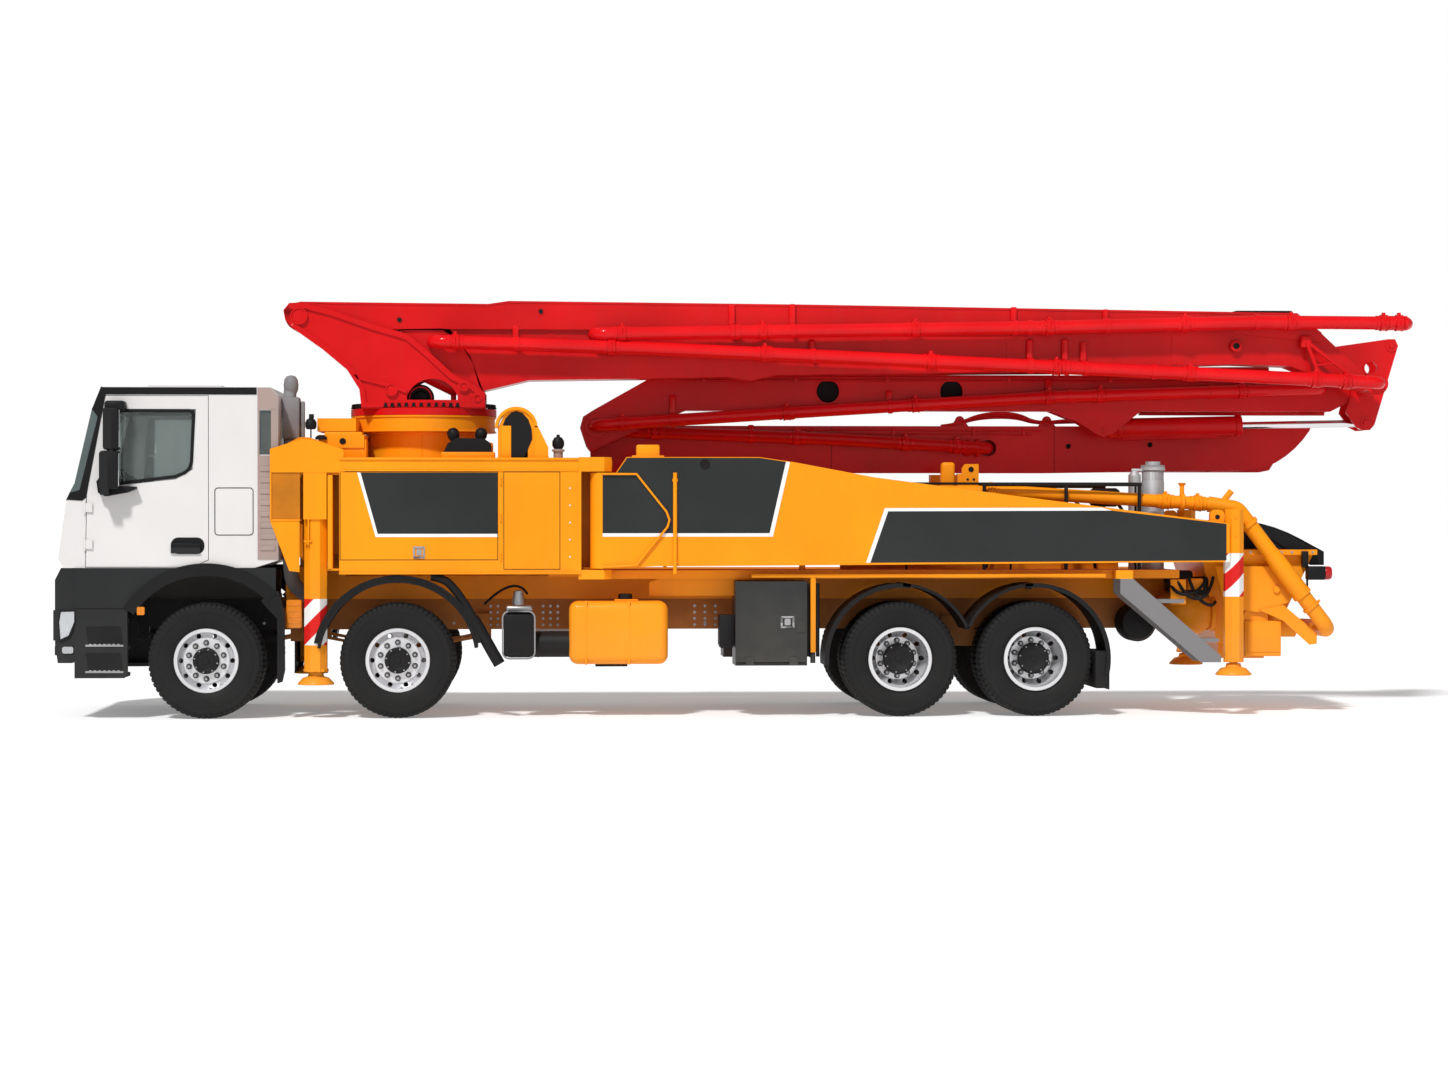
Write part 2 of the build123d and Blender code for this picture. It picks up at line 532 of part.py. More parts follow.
# Tanks and silencer on the left, each on brackets that reach the rail; the right side has a fuel tank
BRACKET_Y = RAIL_Y + FIT
with BuildPart() as side_tanks:
    with BuildSketch(Plane.YZ.offset(-1707)) as tank_end:
        with Locations((-1000, 790)):
            RectangleRounded(430, 590, 90)
    extrude(tank_end.sketch, amount=925)
    post(-1180, -1010, 1080, 1140, 55)
    block(-2305, -2040, -1200, -860, 560, 1060)
    block(-2045, -1700, -1160, -900, 560, 800)
    for x in (-2180, -1500, -950):
        block(x - 30, x + 30, -1000, -BRACKET_Y, 850, 900)
    with BuildSketch(Plane.YZ.offset(-2200)) as fuel_end:
        with Locations((1000, 760)):
            RectangleRounded(440, 560, 120)
    extrude(fuel_end.sketch, amount=1300)
    for x in (-1950, -1150):
        block(x - 30, x + 30, BRACKET_Y, 1000, 850, 900)
save(side_tanks.part, "side_tanks")

# Tool box: hollow, with a door on the outside hinged along its lower edge
BOX_X = (-153.0, 520.0)
BOX_Z = (480.0, 1270.0)
BOX_Y = (-1200.0, -700.0)
BOX_WALL = 25.0
BOX_DOOR_T = 30.0
BOX_HINGE_X = (-20.0, 390.0)
BOX_HINGE_Y = BOX_Y[0] - FIT - BOX_DOOR_T
BOX_HINGE_Z = 492.0
with BuildPart() as tool_box:
    block(BOX_X[0], BOX_X[1], BOX_Y[0], BOX_Y[1], BOX_Z[0], BOX_Z[1])
    block(BOX_X[0] + BOX_WALL, BOX_X[1] - BOX_WALL, BOX_Y[0] - 1, BOX_Y[1] - BOX_WALL,
          BOX_Z[0] + BOX_WALL, BOX_Z[1] - BOX_WALL, Mode.SUBTRACT)
    for x in (0, 370):
        block(x - 30, x + 30, BOX_Y[1] - 5, -BRACKET_Y, 900, 960)
    for x in BOX_HINGE_X:
        for lug_x in (x - 52, x + 42):
            block(lug_x, lug_x + 10, BOX_HINGE_Y - 7, BOX_Y[0] + 10, BOX_HINGE_Z - 8, BOX_HINGE_Z + 8)
        long_bar(BOX_HINGE_Y, BOX_HINGE_Z, x - 45, x + 45, 5)
    block(560, 600, -1150, -BRACKET_Y, 850, 890)
    post(580, -1120, 500, 1280, 24)
    block(-160, 520, 700, 1200, 480, 1270)
    for x in (0, 370):
        block(x - 30, x + 30, BRACKET_Y, 710, 900, 960)
save(tool_box.part, "tool_box")
with BuildPart() as tool_box_door:
    door_y1 = BOX_Y[0] - FIT
    block(BOX_X[0] + 2, BOX_X[1] - 2, BOX_HINGE_Y, door_y1, BOX_Z[0] + 32, BOX_Z[1] - 2)
    block(420, 500, BOX_HINGE_Y - 8, BOX_HINGE_Y + 1, 790, 900)
    for x in BOX_HINGE_X:
        long_bar(BOX_HINGE_Y, BOX_HINGE_Z, x - 40, x + 40, 11)
        block(x - 40, x + 40, BOX_HINGE_Y - 11, BOX_HINGE_Y + 1, BOX_HINGE_Z, BOX_HINGE_Z + 70)
        long_bar(BOX_HINGE_Y, BOX_HINGE_Z, x - 41, x + 41, 5 + FIT, Mode.SUBTRACT)
save(tool_box_door.part, "tool_box_door")

# Support frame: subframe, pedestal, side cupboards and the housing of the front legs
PEDESTAL_R = 560.0
STACK_XY = (-4330.0, -760.0)
STACK_R = 58.0
CUPBOARD_X = (-3838.0, -1594.0)
with BuildPart() as support_frame:
    for side in SIDES.values():
        y0, y1 = sorted((side * (RAIL_Y - RAIL_W), side * RAIL_Y))
        block(HOUSING_X0, RAIL_X1, y0, y1, RAIL_Z1 + FIT, SUB_Z1)
        y0, y1 = sorted((side * SIDE_INNER_Y, side * SIDE_OUTER_Y))
        block(CUPBOARD_X[0], CUPBOARD_X[1], y0, y1, 1374, 2300)
        sill_y = sorted((side * (SIDE_INNER_Y - 20), side * SIDE_OUTER_Y))
        block(CUPBOARD_X[0], -1620, sill_y[0], sill_y[1], 2300, 2420)
        block(CUPBOARD_X[0], -1594, y0, y1, 1340, 1374)
        knuckle_y = sorted((side * 1010, side * 1240))
        for z0, z1 in ((2296, 2430), (1290, 1378)):
            layer([(-1600, side * 1010), (REAR_HINGE_X + 20, side * 1010), (-1310, side * 1090),
                   (-1310, side * 1170), (REAR_HINGE_X + 20, side * 1240), (-1600, side * 1240)], z0, z1)
        post(REAR_HINGE_X, side * REAR_HINGE_Y, 1300, 2420, 45)
        block(-1620, -1594, knuckle_y[0], knuckle_y[1], 1290, 2430)
    block(-3838, -2300, -SIDE_INNER_Y - 10, SIDE_INNER_Y + 10, 1400, 1500)
    block(-3500, -2650, -SIDE_INNER_Y - 10, SIDE_INNER_Y + 10, 2250, 2420)
    block(-1900, -1600, -SIDE_INNER_Y - 10, SIDE_INNER_Y + 10, SUB_Z1 - 1, 1500)
    block(-3700, -2500, -400, 400, SUB_Z1 - 1, 1420)
    post(SLEW_X, 0, 1400, 2685, PEDESTAL_R)
    post(SLEW_X, 0, 2680, RING_Z - FIT, RING_R - 15)
    block(-4060, -3700, -950, -250, 2674, 2796)
    block(-4040, -3620, -1000, -200, HOUSING_Z1 - 1, 2640)
    block(-3980, -3720, -900, -300, 2630, 2680)
    post(*STACK_XY, HOUSING_Z1 - 1, 3060, STACK_R)
    post(*STACK_XY, 3055, 3120, STACK_R - 12)
    slab([(-2370, 2415), (-2370, 2700), (-2310, 2830), (-2200, 2890), (-2090, 2860), (-2020, 2760),
          (-1890, 2415)], -1190, -900)
    slab([(-2330, 2400), (-2330, 2690), (-2270, 2790), (-2200, 2830), (-2130, 2790), (-2090, 2690),
          (-2090, 2400)], -1150, -940, Mode.SUBTRACT)
    slab([(-2330, 2400), (-2330, 2690), (-2270, 2790), (-2200, 2830), (-2130, 2790), (-2090, 2690),
          (-2090, 2400)], -1191, -1130, Mode.SUBTRACT)
    block(HOUSING_X0, HOUSING_X1 + 12, -1200, 1200, HOUSING_Z0, HOUSING_Z1)
    slab([(HOUSING_X0, HOUSING_Z1 - 1), (-4210, 2612), (-4120, 2612), (HOUSING_X1 + 12, HOUSING_Z1 - 1)],
         -1200, 1200)
    for beam_x in FRONT_LEG_X.values():
        half = LEG_BEAM_W / 2 + 6
        block(beam_x - half, beam_x + half, -1300, 1300, LEG_BEAM_Z0 - FIT, LEG_BEAM_Z1 + 6, Mode.SUBTRACT)
    block(HOUSING_X0, HOUSING_X0 + 40, -500, 500, RAIL_Z1 + 40, HOUSING_Z0 + 10)
    block(HOUSING_X0, -3838, -RAIL_Y, RAIL_Y, SUB_Z1 - 1, 1400)
    block(-3850, -3800, -SIDE_INNER_Y - 10, SIDE_INNER_Y + 10, SUB_Z1 - 1, 2300)
    for side in SIDES.values():
        y0, y1 = sorted((side * 500, side * 900))
        slab([(HOUSING_X0, HOUSING_Z0 + 5), (HOUSING_X0, 1830), (-4380, 1640), (-4180, 1450),
              (-3838, 1450), (-3838, HOUSING_Z0 + 5)], y0, y1)
save(support_frame.part, "support_frame")

# Deck: plate, side rails, rear cross beam, boom rests, steps and railings
DECK_Z = 1340.0
with BuildPart() as deck:
    block(-1560, 4080, -990, 990, DECK_Z, DECK_Z + 30)
    for side in SIDES.values():
        y0, y1 = sorted((side * RAIL_Y, side * (RAIL_Y - RAIL_W)))
        block(-1560, 4080, y0, y1, SUB_Z1 + FIT, DECK_Z + 1)
        y0, y1 = sorted((side * 940, side * 1000))
        block(-1560, 4080, y0, y1, 1290, DECK_Z + 30)
    for x0, x1 in ((1890, 2000), (2050, 2170)):
        block(x0, x1, -330, 330, DECK_Z + 29, 1560)
        block(x0, x1, -330, -230, 1550, 2290)
        block(x0, x1, 520, 680, DECK_Z + 29, 2290)
    post(3900, -600, DECK_Z + 29, 2330, 105)
    post(3900, -600, 2320, 2370, 115)
    post(3900, -600, 2360, 2400, 70)
    for y in (-980, 980):
        for x in (2220, 3000, 3700):
            post(x, y, DECK_Z + 29, 2180, 18)
        long_bar(y, 2180, 2200, 3720, 18)
    for z, x0, x1 in ((1060, 3700, 4090), (690, 4060, 4420)):
        block(x0, x1, -1190, -820, z, z + 35)
    for y0, y1 in ((-1200, -1180), (-830, -810)):
        slab([(3480, 1290), (3600, 1290), (4440, 560), (4440, 500), (4250, 500), (3480, 1150)], y0, y1)
    block(3440, 3600, -1200, -940, 1290, DECK_Z + 30)
save(deck.part, "deck")

# Front legs: sliding beam with an end plate and the upright sleeve of its jack
SLEEVE_TOP_Z = HOUSING_Z0 - RUN
for side_name, side in SIDES.items():
    leg_x = FRONT_LEG_X[side_name]
    half = LEG_BEAM_W / 2
    with BuildPart() as front_leg:
        beam_y = sorted((side * 1230, -side * 1100))
        block(leg_x - half, leg_x + half, beam_y[0], beam_y[1], LEG_BEAM_Z0, LEG_BEAM_Z1)
        plate_y = sorted((side * 1207, side * 1243))
        block(leg_x - half - 12, leg_x + half + 12, plate_y[0], plate_y[1], 1850, LEG_BEAM_Z1 + 20)
        with BuildSketch(Plane.XY.offset(430)) as sleeve:
            with Locations((leg_x, side * FRONT_JACK_Y)):
                RegularPolygon(FRONT_JACK_R, 8, major_radius=False, rotation=22.5)
                Circle(52 + FIT, mode=Mode.SUBTRACT)
        extrude(sleeve.sketch, amount=SLEEVE_TOP_Z - 430)
    save(front_leg.part, f"front_leg_{side_name}")
    with BuildPart() as front_jack:
        post(leg_x, side * FRONT_JACK_Y, FRONT_FOOT_Z + 30, 1500, 52)
        post(leg_x, side * FRONT_JACK_Y, FRONT_FOOT_Z + 60, 425, 70)
        post(leg_x, side * FRONT_JACK_Y, FRONT_FOOT_Z, FRONT_FOOT_Z + 62, 112)
    save(front_jack.part, f"front_jack_{side_name}")

# Rear legs: long tapered boxes hung on the posts beside the cupboards, a jack at the far end
LEG_SIDE = [(REAR_HINGE_X, 1390), (REAR_HINGE_X, 2284), (-1270, 2284), (-1170, 2431), (70, 2431),
            (397, 2384), (1146, 2244), (2361, 2085), (REAR_JACK_X - 60, 1814), (REAR_JACK_X - 60, 1449),
            (-538, 1412), (-900, 1412), (-1250, 1390)]
for side_name, side in SIDES.items():
    with BuildPart() as rear_leg:
        y0, y1 = sorted((side * (REAR_HINGE_Y - REAR_LEG_HALF_W), side * (REAR_HINGE_Y + REAR_LEG_HALF_W)))
        slab(LEG_SIDE, y0, y1)
        post(REAR_HINGE_X, side * REAR_HINGE_Y, 1390, 2284, REAR_LEG_HALF_W)
        post(REAR_HINGE_X, side * REAR_HINGE_Y, 1380, 2300, 45 + FIT, Mode.SUBTRACT)
        cross_bar(-440, 2363, y0 - 5, y1 + 5, 44, Mode.SUBTRACT)
        with BuildSketch(Plane.XY.offset(500)) as sleeve:
            with Locations((REAR_JACK_X, side * REAR_HINGE_Y)):
                RegularPolygon(REAR_JACK_R, 8, major_radius=False, rotation=22.5)
        extrude(sleeve.sketch, amount=1945 - 500)
        post(REAR_JACK_X, side * REAR_HINGE_Y, 400, 1700, 40 + FIT, Mode.SUBTRACT)
    save(rear_leg.part, f"rear_leg_{side_name}")
    with BuildPart() as rear_jack:
        post(REAR_JACK_X, side * REAR_HINGE_Y, REAR_FOOT_Z + 30, 1500, 40)
        post(REAR_JACK_X, side * REAR_HINGE_Y, REAR_FOOT_Z, REAR_FOOT_Z + 66, 110)
    save(rear_jack.part, f"rear_jack_{side_name}")

# Turret: disc on the ring, two cheek plates with an arch through them, and the pins they carry
TURRET_SIDE = [(-3670, DISC_TOP_Z), (-3690, 3084), (-3804, 3266), (-4043, 3467), (-4311, 3658), (-4387, 3734),
               (-4406, 3830), (-4350, 3900), (-4206, 3906), (-3948, 3839), (-3565, 3706), (-3231, 3610),
               (-3039, 3450), (-2800, 3228), (-2609, 3132), (-2494, 3050), (-2494, DISC_TOP_Z)]
CHEEK_Y = ((ARM1_Y[0] - RUN - TURRET_PLATE, ARM1_Y[0] - RUN), (ARM1_Y[1] + RUN, ARM1_Y[1] + RUN + TURRET_PLATE))
ARM1_MID_Y = (ARM1_Y[0] + ARM1_Y[1]) / 2
with BuildPart() as turret:
    post(SLEW_X, 0, RING_Z, DISC_TOP_Z, RING_R)
    block(-3670, -2494, CHEEK_Y[0][0], CHEEK_Y[1][1] + 60, DISC_TOP_Z - 5, 2985)
    for y0, y1 in CHEEK_Y:
        slab(TURRET_SIDE, y0, y1)
        with BuildSketch(side_plane(y1 + 1)) as arch:
            with BuildLine():
                Line((-3240, 2985), (-3240, 3020))
                ThreePointArc((-3240, 3020), (-2996, 3185), (-2760, 3020))
                Polyline((-2760, 3020), (-2760, 2985), (-3240, 2985))
            make_face()
        extrude(arch.sketch, amount=y1 - y0 + 2, mode=Mode.SUBTRACT)
    slab([(-3670, 2980), (-3690, 3084), (-3804, 3266), (-4043, 3467), (-4027, 3487), (-3783, 3286),
          (-3665, 3092), (-3645, 2980)], CHEEK_Y[0][0], CHEEK_Y[1][1])
    for (x, z), r in ((LIFT_PIVOT, 60), (LIFT_FOOT, 45)):
        cross_bar(x, z, CHEEK_Y[0][0], CHEEK_Y[1][1], r)
    for x, z, r in ((*LIFT_PIVOT, 82), (-3386, 3080, 62), (-2698, 3110, 62), (-2570, 3000, 62)):
        cross_bar(x, z, CHEEK_Y[0][0] - 18, CHEEK_Y[0][0] + 1, r)
        cross_bar(x, z, CHEEK_Y[1][1] - 1, CHEEK_Y[1][1] + 18, r)
save(turret.part, "turret")

# Arm 1: deep box under a wider top, shallow root over the lift cylinder, tongue at the tip
ARM1_TOP = [(-4257, 3640), (-4257, 3915), (-2468, 3900), (-2276, 3929), (556, 3905), (4780, 3848),
            (5320, 3840), (5560, 3650), (5560, 3560), (4722, 3640), (-2900, 3665)]
ARM1_LOW = [(-4257, 3650), (-2900, 3650), (-2760, 3560), (-2620, 3340), (-2560, 3130), (-2526, 3070),
            (-2084, 3176), (-951, 3195), (-183, 3214), (28, 3176), (287, 3233), (1775, 3252), (4722, 3348),
            (5260, 3330), (5560, 3215), (6000, 3100), (6110, 3165), (6000, 3240), (5560, 3650),
            (4722, 3700), (-2900, 3700)]
ROOT_BOSS_R = 135.0
TIP_BOSS_R = 110.0
WEB_IN = 30.0            # how far the lower box stands back from the top's edge
EYE_SLOT_HALF = 57.0     # slot in the root in which the lift rod's eye moves
with BuildPart() as arm_1:
    slab(ARM1_TOP, ARM1_Y[0], ARM1_Y[1])
    slab(ARM1_LOW, ARM1_Y[0] + WEB_IN, ARM1_Y[1] - WEB_IN)
    cross_bar(*LIFT_PIVOT, ARM1_Y[0], ARM1_Y[1], ROOT_BOSS_R)
    cross_bar(*LIFT_PIVOT, ARM1_Y[0] - 5, ARM1_Y[1] + 5, 60 + FIT, Mode.SUBTRACT)
    block(-4030, -3600, ARM1_MID_Y - EYE_SLOT_HALF, ARM1_MID_Y + EYE_SLOT_HALF, 3600, 3745, Mode.SUBTRACT)
    for y in (ARM1_MID_Y - 60, ARM1_MID_Y + 95):
        slab([(-3900, 3660), (-3840, 3560), (-3764, 3510), (-3690, 3560), (-3630, 3660)], y - 35, y)
    cross_bar(HINGE_12[0], HINGE_12[1], ARM1_Y[0] + WEB_IN, ARM1_Y[1] - WEB_IN, TIP_BOSS_R)
    cross_bar(HINGE_12[0], HINGE_12[1], ARM1_Y[0] + WEB_IN - 10, 400, PIN_12_R)
    cross_bar(4722, 3520, ARM1_Y[0] - 12, ARM1_Y[0] + WEB_IN + 2, 60)
save(arm_1.part, "arm_1")

# Pipes of arm 1: the lower one runs to the tip hinge, the upper one past the tip, both on clamps
ELBOW = 110.0
PIPE1 = [(-2989, ARM1_Y[0] + WEB_IN - FIT, 3535), (-2989, ARM1_PIPE_Y, 3535), (-985, ARM1_PIPE_Y, 3475),
         (1495, ARM1_PIPE_Y, 3370), (HINGE_12[0], ARM1_PIPE_Y, HINGE_12[1]),
         (HINGE_12[0], ARM1_Y[0] + WEB_IN - 10 - FIT, HINGE_12[1])]
PIPE2 = [(-1460, ARM1_Y[0] - FIT, 3610), (-1460, ARM1_PIPE_Y, 3610), (2840, ARM1_PIPE_Y, 3688),
         (4980, ARM1_PIPE_Y, 3745), (6376, ARM1_PIPE_Y, 3738), (6376, ARM1_PIPE_Y + 220, 3738)]
with BuildPart() as arm_1_pipes:
    pipe_run(PIPE1, PIPE_R, ELBOW)
    pipe_run(PIPE2, PIPE_R, ELBOW)
    for x, z0, z1, z in ((-2780, 3450, 3600, 3530), (-2200, 3440, 3640, 3512), (200, 3330, 3480, 3425),
                         (2700, 3230, 3420, 3318), (3900, 3220, 3420, 3263)):
        block(x - 20, x + 20, ARM1_PIPE_Y - 30, ARM1_Y[0] + WEB_IN - FIT, z - 25, z + 25)
        with BuildSketch(Plane.YZ.offset(x - 25)) as ring:
            with Locations((ARM1_PIPE_Y, z)):
                Circle(PIPE_R + 10)
        extrude(ring.sketch, amount=50)
    for x, z in ((-100, 3634), (2700, 3685), (4900, 3743)):
        block(x - 20, x + 20, ARM1_PIPE_Y - 30, ARM1_Y[0] - FIT, z - 25, z + 25)
        with BuildSketch(Plane.YZ.offset(x - 25)) as ring:
            with Locations((ARM1_PIPE_Y, z)):
                Circle(PIPE_R + 10)
        extrude(ring.sketch, amount=50)
save(arm_1_pipes.part, "arm_1_pipes")

# Arm 2: box that forks at the rear for the rocker plates, ear for its cylinder, tongue at the front
CYL2_MID_Y = (ARM2_Y[0] + ARM2_Y[1]) / 2
FORK_PLATE = 36.0
FORK_X = 5508.0
ARM2_BOX = [(FORK_X, 2909), (FORK_X, 3262), (-830, 3262), (-931, 3213), (-1450, 2919), (-1560, 2850),
            (-1590, 2742), (-1528, 2556), (-1489, 2507), (-1100, 2690), (-560, 2909)]
ARM2_FORK = [(FORK_X - 40, 2909), (FORK_X - 40, 3262), (6080, 3285), (6190, 3240), (6225, 3165),
             (6190, 3080), (6060, 3040), (5800, 2909)]
EAR_SIDE = [(3009, 2915), (3300, 2800), (3470, 2690), (3554, 2655), (3640, 2690), (3780, 2800), (3920, 2915)]
with BuildPart() as arm_2:
    slab(ARM2_BOX, *ARM2_Y)
    for y0, y1 in ((ARM2_Y[0], ARM2_Y[0] + FORK_PLATE), (ARM2_Y[1] - FORK_PLATE, ARM2_Y[1])):
        slab(ARM2_FORK, y0, y1)
    cross_bar(*HINGE_12, ARM2_Y[0] - 5, ARM2_Y[1] + 5, PIN_12_R + FIT, Mode.SUBTRACT)
    for y0, y1 in ((CYL2_MID_Y - 127, CYL2_MID_Y - 102), (CYL2_MID_Y + 102, CYL2_MID_Y + 127)):
        slab(EAR_SIDE, y0, y1)
    cross_bar(*CYL2_FOOT, CYL2_MID_Y - 127, CYL2_MID_Y + 127, EYE_PIN_R)
    cross_bar(*HINGE_23, ARM2_Y[0], ARM2_Y[1] + 20, 120)
    cross_bar(*HINGE_23, ARM2_Y[0], ARM3_Y[1], PIN_23_R)
    for x in (830, 2045):
        cross_bar(x, 3100, ARM2_Y[0] - 1, ARM2_Y[0] + 60, 112, Mode.SUBTRACT)
save(arm_2.part, "arm_2")

# Pipe of arm 2, an elbow into the arm at each end
PIPE3 = [(5700, ARM2_Y[0] - FIT, 3133), (5700, ARM2_PIPE_Y, 3133), (3020, ARM2_PIPE_Y, 3048),
         (800, ARM2_PIPE_Y, 2910), (HINGE_23[0] - 20, ARM2_PIPE_Y, HINGE_23[1]),
         (HINGE_23[0] - 20, ARM2_Y[0] - FIT, HINGE_23[1])]
with BuildPart() as arm_2_pipe:
    pipe_run(PIPE3, ARM2_PIPE_R, 100)
    for x, z in ((-1170, 2778), (460, 2884), (1720, 2967), (3200, 3054), (4600, 3098)):
        block(x - 20, x + 20, ARM2_PIPE_Y + 20, ARM2_Y[0] - FIT, z - 25, z + 25)
        with BuildSketch(Plane.YZ.offset(x - 25)) as ring:
            with Locations((ARM2_PIPE_Y, z)):
                Circle(ARM2_PIPE_R + 6)
        extrude(ring.sketch, amount=50)
save(arm_2_pipe.part, "arm_2_pipe")

# Arm 3: deep box with a rounded tail, and its pipe on the near face that enters the box by a hole
ARM3_TOP_Z = 2773.0      # low enough to pass over the turret's disc when arm 3 is unfolded
with BuildPart() as arm_3:
    with BuildSketch(side_plane(ARM3_Y[1])) as beam:
        with BuildLine():
            Polyline((5600, ARM3_TOP_Z), (HINGE_23[0], ARM3_TOP_Z), (-1483, 2700), (-1483, 2307), (3000, 2307),
                     (4650, 2330), (5000, 2365))
            ThreePointArc((5000, 2365), (5440, 2510), (5600, ARM3_TOP_Z))
        make_face()
    extrude(beam.sketch, amount=ARM3_Y[1] - ARM3_Y[0])
    cross_bar(*HINGE_23, *ARM3_Y, 110)
    cross_bar(*HINGE_23, ARM3_Y[0] - 5, ARM3_Y[1] + 5, PIN_23_R + FIT, Mode.SUBTRACT)
    cross_bar(2460, 2555, ARM3_Y[0] - 1, ARM3_Y[0] + 130, 82, Mode.SUBTRACT)
    for x, z in ((3263, 2575), (4082, 2590)):
        cross_bar(x, z, ARM3_Y[0] - 1, ARM3_Y[1] + 1, 26, Mode.SUBTRACT)
    cross_bar(*HINGE_34, ARM3_Y[1] - 60, TIP_Y[1], PIN_34_R)
    pipe_run([(-1120, ARM3_Y[0] + 1, 2718), (-1120, ARM3_PIPE_Y, 2718), (850, ARM3_PIPE_Y, 2645),
              (2350, ARM3_PIPE_Y, 2560), (2450, ARM3_PIPE_Y + 60, 2555), (2450, ARM3_Y[0] + 131, 2555)],
             ARM2_PIPE_R, 70)
    for x, z in ((-850, 2708), (400, 2662), (1700, 2597)):
        block(x - 20, x + 20, ARM3_PIPE_Y + 20, ARM3_Y[0] + 1, z - 25, z + 25)
save(arm_3.part, "arm_3")

# Arms 4 and 5 behind arm 3, one above the other, with their pipes on the outside
CHEEK_4 = 32.0
with BuildPart() as arm_4:
    slab([(5230, 2320), (5230, 2570), (5330, 2700), (5420, 2720), (5500, 2630), (5430, 2500), (5330, 2340)],
         *TIP_Y)
    slab([(5240, 2320), (5240, 2540), (-520, 2540), (-520, 2360), (-300, 2320)], *TIP_Y)
    for y0, y1 in ((TIP_Y[0], TIP_Y[0] + CHEEK_4), (TIP_Y[1] - CHEEK_4, TIP_Y[1])):
        slab([(-500, 2360), (-500, 2540), (-640, 2560), (-680, 2640), (-750, 2660), (-830, 2630),
              (-850, 2560), (-820, 2480), (-740, 2400)], y0, y1)
    cross_bar(*HINGE_34, *TIP_Y, 90)
    cross_bar(*HINGE_34, TIP_Y[0] - 5, TIP_Y[1] + 5, PIN_34_R + FIT, Mode.SUBTRACT)
    cross_bar(*HINGE_45, *TIP_Y, PIN_45_R)
    pipe_run([(5180, TIP_Y[1] - 1, 2450), (5180, TIP_PIPE_Y, 2450), (1450, TIP_PIPE_Y, 2450),
              (1450, TIP_Y[1] - 1, 2450)], TIP_PIPE_R, 58)
save(arm_4.part, "arm_4")
with BuildPart() as arm_5:
    y0 = TIP_Y[0] + CHEEK_4 + RUN
    y1 = TIP_Y[1] - CHEEK_4 - RUN
    cross_bar(*HINGE_45, y0, y1, 85)
    slab([(HINGE_45[0], 2575), (-560, 2575), (-560, 2700), (-700, 2640), (HINGE_45[0], 2640)], y0, y1)
    slab([(-600, 2575), (5150, 2575), (5150, 2680), (-200, 2765), (-600, 2700)], *TIP_Y)
    cross_bar(*HINGE_45, y0 - 5, y1 + 5, PIN_45_R + FIT, Mode.SUBTRACT)
    pipe_run([(-380, TIP_Y[1] - 1, 2640), (-380, TIP_PIPE_Y, 2640), (5060, TIP_PIPE_Y, 2628)],
             TIP_PIPE_R, 58)
    for x in (700, 2600, 4300):
        block(x - 20, x + 20, TIP_Y[1] - 1, TIP_PIPE_Y - 20, 2610, 2650)
save(arm_5.part, "arm_5")


def along(foot, eye):
    """Direction from a cylinder's foot to its eye."""
    return Vector(eye[0] - foot[0], 0, eye[1] - foot[1]).normalized()


def barrel(foot, eye, mid_y, length, radius, bore, eye_w):
    """Barrel with a foot eye and an open bore at the rod's end."""
    line = along(foot, eye)
    start = Vector(foot[0], mid_y, foot[1])
    with BuildSketch(Plane(start + line * 60, z_dir=line)) as tube:
        Circle(radius)
    extrude(tube.sketch, amount=length - 60)
    cross_bar(*foot, mid_y - eye_w / 2, mid_y + eye_w / 2, radius * 0.88)
    with BuildSketch(Plane(start + line * (radius + 30), z_dir=line)) as hole:
        Circle(bore)
    extrude(hole.sketch, amount=length, mode=Mode.SUBTRACT)


def rod(foot, eye, mid_y, length, radius, eye_r, eye_w):
    """Rod that ends in an eye."""
    line = along(foot, eye)
    end = Vector(eye[0], mid_y, eye[1])
    with BuildSketch(Plane(end - line * length, z_dir=line)) as bar:
        Circle(radius)
    extrude(bar.sketch, amount=length)
    cross_bar(*eye, mid_y - eye_w / 2, mid_y + eye_w / 2, eye_r)


with BuildPart() as lift_barrel:
    barrel(LIFT_FOOT, LIFT_EYE, ARM1_MID_Y, LIFT_BARREL_L, LIFT_BARREL_R, LIFT_ROD_R + FIT, 150)
    cross_bar(*LIFT_FOOT, ARM1_Y[0], ARM1_Y[1], 45 + FIT, Mode.SUBTRACT)
save(lift_barrel.part, "lift_barrel")
with BuildPart() as lift_rod:
    rod(LIFT_FOOT, LIFT_EYE, ARM1_MID_Y, LIFT_ROD_L, LIFT_ROD_R, 68, 100)
save(lift_rod.part, "lift_rod")
with BuildPart() as arm_2_barrel:
    barrel(CYL2_FOOT, CYL2_EYE, CYL2_MID_Y, CYL2_BARREL_L, CYL2_BARREL_R, CYL2_ROD_R + FIT, 190)
    cross_bar(*CYL2_FOOT, *ARM2_Y, EYE_PIN_R + FIT, Mode.SUBTRACT)
save(arm_2_barrel.part, "arm_2_barrel")
with BuildPart() as arm_2_rod:
    rod(CYL2_FOOT, CYL2_EYE, CYL2_MID_Y, CYL2_ROD_L, CYL2_ROD_R, 62, 90)
save(arm_2_rod.part, "arm_2_rod")

